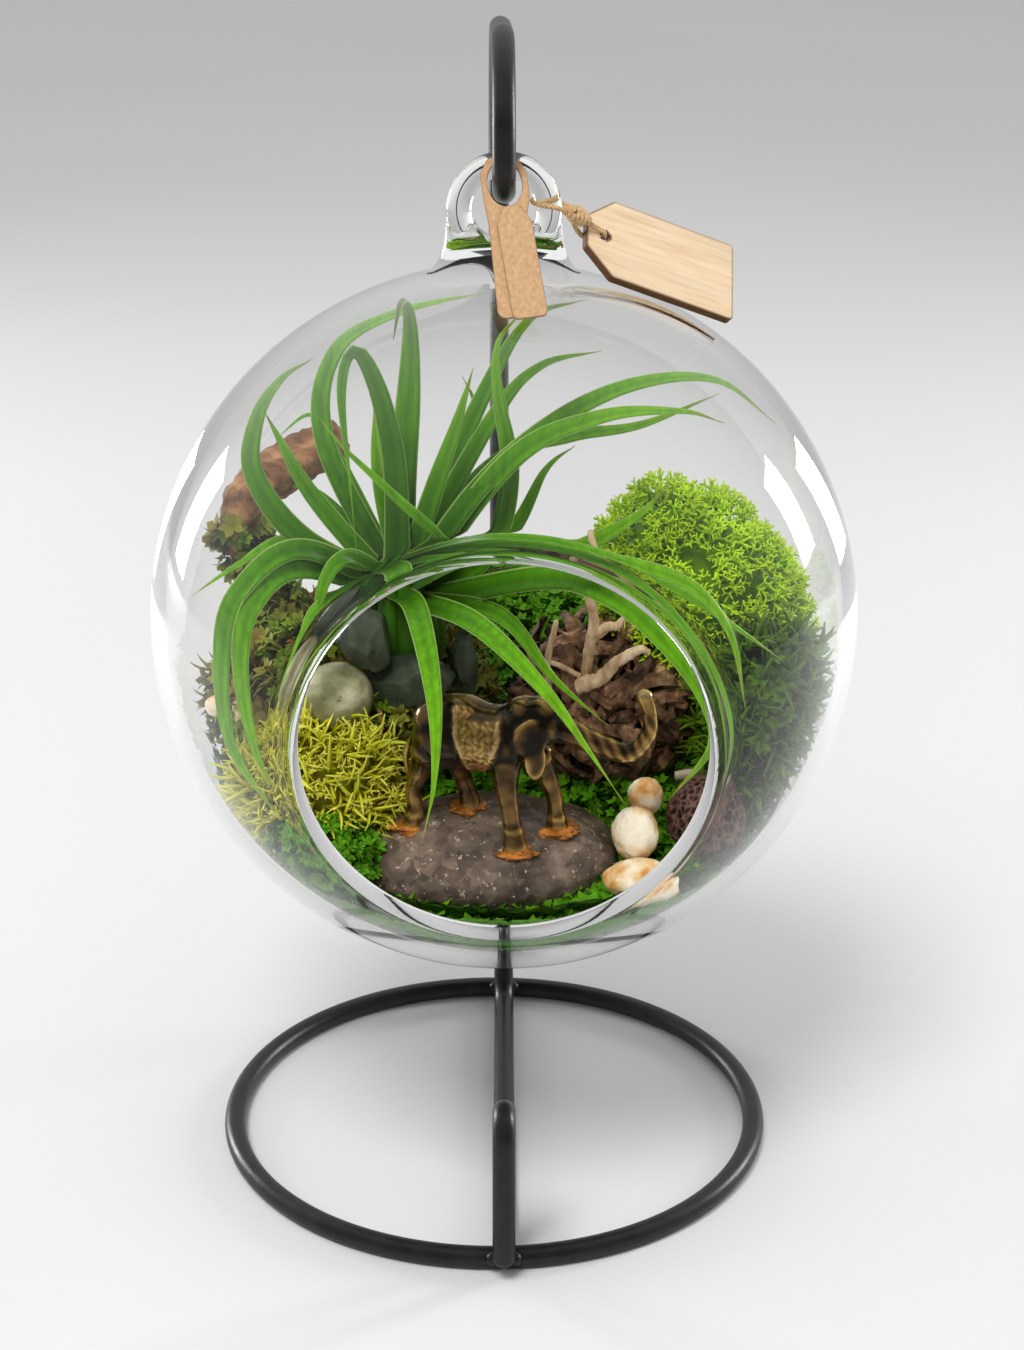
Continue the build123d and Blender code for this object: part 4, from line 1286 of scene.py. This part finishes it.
def makeGlue():
    dabs = [stoneShape(foot, glueDab, 50 + index, 0.42, 0.12, 0, 5) for index, foot in enumerate(gluedFeet)]
    solidPiece("amberGlue", merge(dabs), amberGlue, "globe", "glue", "glue_dabs")


makeElephant(elephant)
makeGlue()


# Air plant: each leaf has its width, its spine and what differs from the common look
leafLook = {
    "facing": (0, -0.8, 0.6),
    "rings": 48,
    "base": 1.15,
    "widest": 0.3,
    "fullness": 0.95,
    "thickness": 0.8,
    "channel": 0.26,
    "pull": 0.3,
}
leaves = [
    (4.8, [(-18, 0, 7), (-17, 3, 25), (-16, 5, 37), (-15.5, 5, 48), (-16, 3, 53), (-17, 0.5, 53),
           (-18, -1.5, 48)]),
    (4.2, [(-18, -2, 7), (-18, -3, 26), (-19.5, -5, 37), (-21.5, -6.5, 44), (-23.5, -8, 47.5),
           (-25.3, -9.5, 46),
           (-26, -11, 40), (-25, -12, 28), (-24, -13, 14)], {"widest": 0.15, "fullness": 2.0}),
    (3.6, [(-17, -1, 6), (-12, -3, 22), (-8, -4, 34), (-5, -4, 44)]),
    (3.8, [(-17, 1, 6), (-21, 4, 24), (-22, 6, 35)]),
    (3.0, [(-16, 0, 6), (-9, 3, 18), (-2, 5, 26), (5, 6, 30)]),
    (3.0, [(-18, -3, 6), (-25, -11, 14), (-29, -17, 12), (-31, -21, 2)]),
    (3.6, [(-19, 1, 6), (-31, 12, 28), (-29, 15, 43), (-18, 14, 50), (-3, 9, 54)]),
    (4.2, [(-20, -2, 6), (-34, -6, 16), (-41, -7, 27), (-40, -6, 36), (-36, -4, 42), (-31, -2, 45)]),
    (3.4, [(-20, 0, 6), (-33, 6, 20), (-39, 9, 30), (-41, 9, 34)]),
    (3.6, [(-19, -3, 6), (-33, -16, 17), (-42, -22, 12), (-45, -24, 3), (-44, -27, -12), (-36, -31, -24)]),
    (3.8, [(-18, -3, 5), (-33, -17, 14), (-40, -23, 10), (-42, -26, 1), (-40, -29, -12), (-36, -31, -20)]),
    (2.0, [(-20, -1, 6), (-36, 2, 13), (-46, 3, 8), (-54, 2, 3)]),
    (3.0, [(-19, -3, 6), (-30, -20, 8), (-33, -26, -2), (-35, -27, -6)]),
    (3.6, [(-16, -2, 6), (-4, -8, 25), (9, -6, 36), (22, -2, 41), (35, 0, 41), (45, 0, 34)]),
    (4.0, [(-16, -2, 5), (1, -10, 30), (15, -13, 38), (28, -13, 39), (35, -13, 37)]),
    (3.0, [(-16, 0, 7), (-1, 4, 26), (11, 6, 30), (23, 6, 32), (36, 4, 38)]),
    (3.4, [(-17, 1, 7), (-4, 6, 36), (4, 5, 50), (13, 1, 54)]),
    (3.2, [(-17, 0, 7), (-2, 2, 34), (6, 2, 43), (16, 0, 46)]),
    (3.6, [(-16, -2, 5), (-3, -5, 12), (1, -5, 26), (-1, -5, 40), (-1, -4, 48), (3, -3, 53)]),
    (3.0, [(-16, 0, 5), (0, 2, 13), (7, 3, 25), (12, 4, 29)]),
    (4.2, [(-16, -1, 4), (2, -3, 8), (14, -4, 14), (23, -5, 20), (27, -5, 25)]),
    (3.4, [(-17, -3, 6), (-2, -26, 20), (15, -31, 20), (28, -33, 17), (35, -34, 9), (38, -33, -4)]),
    (2.6, [(-16.5, -2, 7), (0, -16, 17), (15, -20, 17), (28, -26, 13), (38, -25, 6), (45, -22, 0)]),
    (4.0, [(-18, -3, 5), (-14, -24, 9), (-11, -37, -1), (-11, -42, -13), (-13, -43, -23)], {"fullness": 1.5}),
    (3.8, [(-17, -3, 4), (-5, -26, 8), (6, -37, 1), (13, -40, -8), (19, -41, -17)], {"fullness": 1.5}),
    (3.0, [(-16, -3, 4), (-1, -19, 7), (8, -22, -3), (17, -23, -11)], {"fullness": 1.3}),
    (1.8, [(-16, -5, 8), (-9, -8, 14), (-18, -9, 24), (-26, -9, 32), (-30, -8, 37)]),
    (2.2, [(-19, 2, 6), (-31, 12, 17), (-40, 14, 20), (-46, 12, 17)]),
    (2.0, [(-18, 3, 6), (-30, 16, 26), (-34, 18, 31), (-40, 17, 27)]),
    (2.4, [(-17, 1, 6), (-8, 8, 24), (-5, 9, 34), (-7, 8, 40)]),
    (4.4, [(-16, -3, 3), (6, -22, 14), (16, -29, 14), (24, -34, 9), (31, -36, 0), (33, -36, -9),
           (27, -32, -20)]),
]
bulb = {
    "centre": np.array((-18.0, -1.0, -1.0)),
    "radii": np.array((7.0, 6.5, 12.0)),
    "sheaths": 10,
    "width": 6.5,
    # How far out and how high each sheath stands, in shares of the radii
    "spine": [(0.35, -0.95), (0.85, -0.5), (0.92, 0.05), (0.7, 0.55), (0.55, 1.0)],
    "look": dict(leafLook, base=0.6, widest=0.35, fullness=0.6, channel=-0.35, rings=16),
}
# Places round a blade's section: share across, then 1 on its face and -1 on its back
bladeSection = [(-1, 0), (-0.5, 1), (0, 1), (0.5, 1), (1, 0), (0.5, -1), (0, -1), (-0.5, -1)]


def leafBreadth(along, look):
    if along < look["widest"]:
        return look["base"] + (1 - look["base"]) * along / look["widest"]
    return math.cos(math.pi / 2 * (along - look["widest"]) / (1 - look["widest"]))**look["fullness"]


def bladeShape(width, spine, look):
    # A channelled blade: raised edges, a thick middle, thin margins
    count, sides = look["rings"], len(bladeSection)
    line = smoothLine(spine, count)
    heading = unit(np.gradient(line, axis=0))
    facing = np.array(look["facing"])
    side = unit(np.cross(heading[0], facing))
    outward = facing
    points, along, across, upper = [], [], [], []
    for index in range(count):
        # The side is carried along and pulled a little towards facing the viewer
        carried = unit(side - heading[index] * side.dot(heading[index]))
        turned = np.cross(heading[index], facing)
        side = unit(carried + look["pull"] * turned * np.sign(turned.dot(carried)))
        crossed = np.cross(side, heading[index])
        outward = crossed * (1 if crossed.dot(outward) >= 0 else -1)
        share = index / (count - 1)
        half = max(width * leafBreadth(share, look), 0.12) / 2
        thick = min(look["thickness"] / 2, half * 0.5)
        for sideways, layer in bladeSection:
            lift = look["channel"] * half * (2 * sideways**2 - 1)
            body = layer * thick * (1 - 0.5 * abs(sideways))
            points.append(line[index] + side * half * sideways + outward * (lift + body))
            along.append(share)
            across.append(abs(sideways))
            upper.append((layer + 1) / 2)
    return (np.array(points), ringFaces(count, sides) + flatEnds(count, sides)), along, across, upper


def makePlant(values):
    shapes, along, across, upper, tint = [], [], [], [], []
    chance = np.random.default_rng(7)
    for width, spine, *changes in leaves:
        look = dict(leafLook, **changes[0]) if changes else leafLook
        shape, lengthwise, sideways, above = bladeShape(width, spine, look)
        shapes.append(shape)
        along += lengthwise
        across += sideways
        upper += above
        tint += [chance.uniform()] * len(above)
    for turn in range(values["sheaths"]):
        angle = fullTurn * turn / values["sheaths"]
        out = np.array((math.cos(angle), math.sin(angle), 0))
        spine = [values["centre"] + values["radii"] * (out * reach + np.array((0, 0, up)))
                 for reach, up in values["spine"]]
        look = dict(values["look"], facing=tuple(out))
        shape, lengthwise, _, above = bladeShape(values["width"], spine, look)
        shapes.append(shape)
        along += [0.25 * share for share in lengthwise]
        across += [0.0] * len(above)
        upper += [1.0] * len(above)
        tint += [0.8] * len(above)
    points, faces = merge(shapes)
    solidPiece("airPlant", (fromGlobe(points), faces), leafGreen, "globe", "leaf", "air_plant",
               values={"along": along, "across": across, "upper": upper, "tint": tint})
    print("air plant made")


makePlant(bulb)


# Wooden tag: pale faces, scorched edges and hole
tag = {
    "hole": (16.1, 1.4, 163.1),
    "long": (0.883, 0.288, -0.372),
    "facing": (0.468, -0.616, 0.634),
    "corners": [(-3.4, -3.05), (1.6, -7.6), (24.6, -7.6), (24.6, 7.6), (1.6, 7.6), (-3.4, 3.05)],
    "corner": 0.9,
    "thickness": 1.6,
    "holeRadius": 1.0,
    "middle": (0.0, 0.0),
    "bevel": 0.18,
}


def roundedOutline(corners, radius, steps=6):
    outline = []
    for index, corner in enumerate(corners):
        corner = np.array(corner, float)
        before = unit(np.array(corners[index - 1], float) - corner)
        after = unit(np.array(corners[(index + 1) % len(corners)], float) - corner)
        half = math.acos(np.clip(before.dot(after), -1, 1)) / 2
        reach = radius / math.tan(half)
        middle = corner + unit(before + after) * radius / math.sin(half)
        first, last = corner + before * reach - middle, corner + after * reach - middle
        for share in np.linspace(0, 1, steps):
            outline.append(middle + radius * unit(first * (1 - share) + last * share))
    return np.array(outline)


def insetOutline(outline, inset):
    ahead = unit(np.roll(outline, -1, axis=0) - np.roll(outline, 1, axis=0))
    return outline + inset * np.column_stack([-ahead[:, 1], ahead[:, 0]])


def splitEdges(outline, longest):
    # More points along the straight stretches, so that a hole inside comes out round
    points = []
    for here, beyond in zip(outline, np.roll(outline, -1, axis=0)):
        count = max(1, math.ceil(np.linalg.norm(beyond - here) / longest))
        points += [here + (beyond - here) * step / count for step in range(count)]
    return np.array(points)


def plateShape(values, outline, hole=None):
    # A flat plate, with or without a hole, with eased edges; edge is 1 on them and 0 on the faces
    sides = len(outline)
    half, bevel = values["thickness"] / 2, values["bevel"]
    middle = np.array(values["middle"])
    spokes = outline - middle
    angles = np.arctan2(spokes[:, 1], spokes[:, 0])
    rim = np.column_stack([np.cos(angles), np.sin(angles)])
    inner, shade = insetOutline(outline, bevel), insetOutline(outline, 3 * bevel)
    front = [(outline, half - bevel, 1), (inner, half, 0.6), (shade, half, 0)]
    nearest = middle + rim * (np.array(hole or (bevel, bevel)) + 3 * bevel)
    front += [(nearest + (shade - nearest) * share, half, 0) for share in (0.75, 0.5, 0.25)]
    front.append((nearest, half, 0))
    if hole:
        front.append((middle + rim * (np.array(hole) + bevel), half, 0.6))
        front.append((middle + rim * hole, half - bevel, 1))
    rings = [(flat, -height, scorch) for flat, height, scorch in reversed(front)] + front
    flat = np.vstack([np.column_stack([ring, np.full(sides, height)]) for ring, height, _ in rings])
    edge = [scorch for _, _, scorch in rings for _ in range(sides)]
    faces = ringFaces(len(rings), sides, closed=bool(hole))
    if not hole:
        faces += flatEnds(len(rings), sides)
    return flat, faces, edge


def makeTag(values):
    longAxis, facing = unit(np.array(values["long"])), unit(np.array(values["facing"]))
    upright = np.cross(facing, longAxis)
    plywood = tagMaterial("plywood", Vector(longAxis), Vector(facing))
    outline = roundedOutline(values["corners"], values["corner"])
    flat, faces, edge = plateShape(values, outline, (values["holeRadius"],) * 2)
    points = np.array(values["hole"]) + flat @ np.array([longAxis, upright, facing])
    solidPiece("woodenTag", (points, faces), plywood, "tag", "pale_wood", "wooden_tag",
               values={"edge": edge}, smooth=False)
    print("tag made")


makeTag(tag)


# Card label: a strip with an eye round the hook, and a second strip in front
label = {
    "pivot": (0.0, -5.994, 174.268),
    "lean": 42.5,
    "turn": 7.0,
    "edgeStep": 0.7,
    "leaves": [
        {"corners": [(-4.0, -25.2), (1.6, -25.2), (2.4, -8.5), (3.7, -3.6), (3.7, 1.2), (2.2, 4.2),
                     (-2.2, 4.2), (-3.7, 1.2), (-3.7, -3.6), (-3.4, -8.5)],
         "corner": 1.5, "middle": (0.0, -0.9), "hole": (2.75, 4.2), "thickness": 0.42, "bevel": 0.08,
         "depth": -0.77, "turn": 0.0, "shift": 0.0},
        {"corners": [(-2.75, -25.8), (2.75, -25.8), (2.8, -8.6), (1.3, -5.4), (-1.3, -5.4), (-2.8, -8.6)],
         "corner": 1.0, "middle": (0.0, -14.0), "hole": None, "thickness": 0.42, "bevel": 0.08,
         "depth": -0.24, "turn": 1.5, "shift": 0.35},
    ],
}


def makeLabel(values):
    lean, turn = math.radians(values["lean"]), math.radians(values["turn"])
    facing = np.array((0, -math.cos(lean), math.sin(lean)))
    up = np.array((0, math.sin(lean), math.cos(lean)))
    across = np.array((1.0, 0.0, 0.0))
    shapes, edges = [], []
    for leaf in values["leaves"]:
        outline = splitEdges(roundedOutline(leaf["corners"], leaf["corner"]), values["edgeStep"])
        flat, faces, edge = plateShape(leaf, outline, leaf["hole"])
        swing = turn + math.radians(leaf["turn"])
        right = math.cos(swing) * across + math.sin(swing) * up
        upright = math.cos(swing) * up - math.sin(swing) * across
        flat = flat + (leaf["shift"], 0, leaf["depth"])
        shapes.append((np.array(values["pivot"]) + flat @ np.array([right, upright, facing]), faces))
        edges += edge
    solidPiece("cardLabel", merge(shapes), kraftCard, "label", "kraft_card", "card_label",
               values={"edge": edges}, smooth=False)
    print("label made")


makeLabel(label)


# Floor, light and backdrop; lamps are in metres and watts
studio = {
    "floorHalf": 4000,
    "floorTones": [(0.3, 0.74), (0.7, 0.76)],
    # Two side softboxes show in the glass; a broad high lamp in front models the planting
    "lamps": {
        "leftSoftbox": {"place": (-0.66, 0.48, 0.17), "target": (0, 0, 0.11),
                        "size": (0.15, 0.28), "power": 2.6},
        "rightSoftbox": {"place": (0.73, 0.35, 0.26), "target": (0, 0, 0.11),
                         "size": (0.15, 0.28), "power": 2.6},
        "highLamp": {"place": (-0.25, -0.55, 1.0), "target": (0, 0, 0.1), "size": (0.4, 0.4), "power": 7.5},
    },
    "unseenInGlass": ["highLamp"],
    "dome": [(0.0, 0.62), (0.35, 0.7), (1.0, 1.0)],
    "strength": 0.72,
    # Where the dark cloth is darkest and where it ends, from front to back, and its tone
    "skyCloth": (-0.6, 0.4, 0.25),
    "floorCloth": (-0.15, 0.05, 0.3),
}


def addLamp(name, values):
    data = bpy.data.lights.new(name, "AREA")
    data.shape = "RECTANGLE"
    data.size, data.size_y = values["size"]
    data.energy = values["power"]
    lamp = newObject(name, data)
    lamp.location = values["place"]
    aim = Vector(values["target"]) - Vector(values["place"])
    lamp.rotation_euler = aim.to_track_quat("-Z", "Y").to_euler()
    return lamp


def darkCloth(tree, place, colour, span):
    # Only glossy rays find a dark cloth in front, so that the glass keeps clear of haze
    depth = put(tree, "ShaderNodeSeparateXYZ", Vector=place).outputs["Y"]
    cloth = put(tree, "ShaderNodeMapRange", Value=depth, From_Min=span[0], From_Max=span[1], To_Min=span[2])
    path = put(tree, "ShaderNodeLightPath")
    return mixed(tree, path.outputs["Is Glossy Ray"], colour, cloth.outputs["Result"], "MULTIPLY")


def floorMaterial(values):
    material, tree, shader = newMaterial("paleFloor")
    tone = ramp(tree, grain(tree, 3, 1), values["floorTones"])
    colour = darkCloth(tree, objectPlace(tree), tone, values["floorCloth"])
    finish(tree, shader, Base_Color=colour, Roughness=0.9)
    return material


def makeStudio(values):
    far = values["floorHalf"]
    corners = [(-far, -far, 0), (far, -far, 0), (far, far, 0), (-far, far, 0)]
    floor = newObject("floor", newMesh("floor", corners, [(0, 1, 2, 3)], floorMaterial(values)))
    for name, lampValues in values["lamps"].items():
        addLamp(name, lampValues).visible_glossy = name not in values["unseenInGlass"]
    world = bpy.data.worlds.new("studioSky")
    scene.world = world
    world.use_nodes = True
    tree = world.node_tree
    tree.nodes.clear()
    place = put(tree, "ShaderNodeTexCoord").outputs["Generated"]
    height = put(tree, "ShaderNodeSeparateXYZ", Vector=place).outputs["Z"]
    colour = darkCloth(tree, place, ramp(tree, height, values["dome"]), values["skyCloth"])
    sky = put(tree, "ShaderNodeBackground", Color=colour, Strength=values["strength"])
    out = put(tree, "ShaderNodeOutputWorld")
    tree.links.new(sky.outputs[0], out.inputs["Surface"])
    print("studio made")


makeStudio(studio)
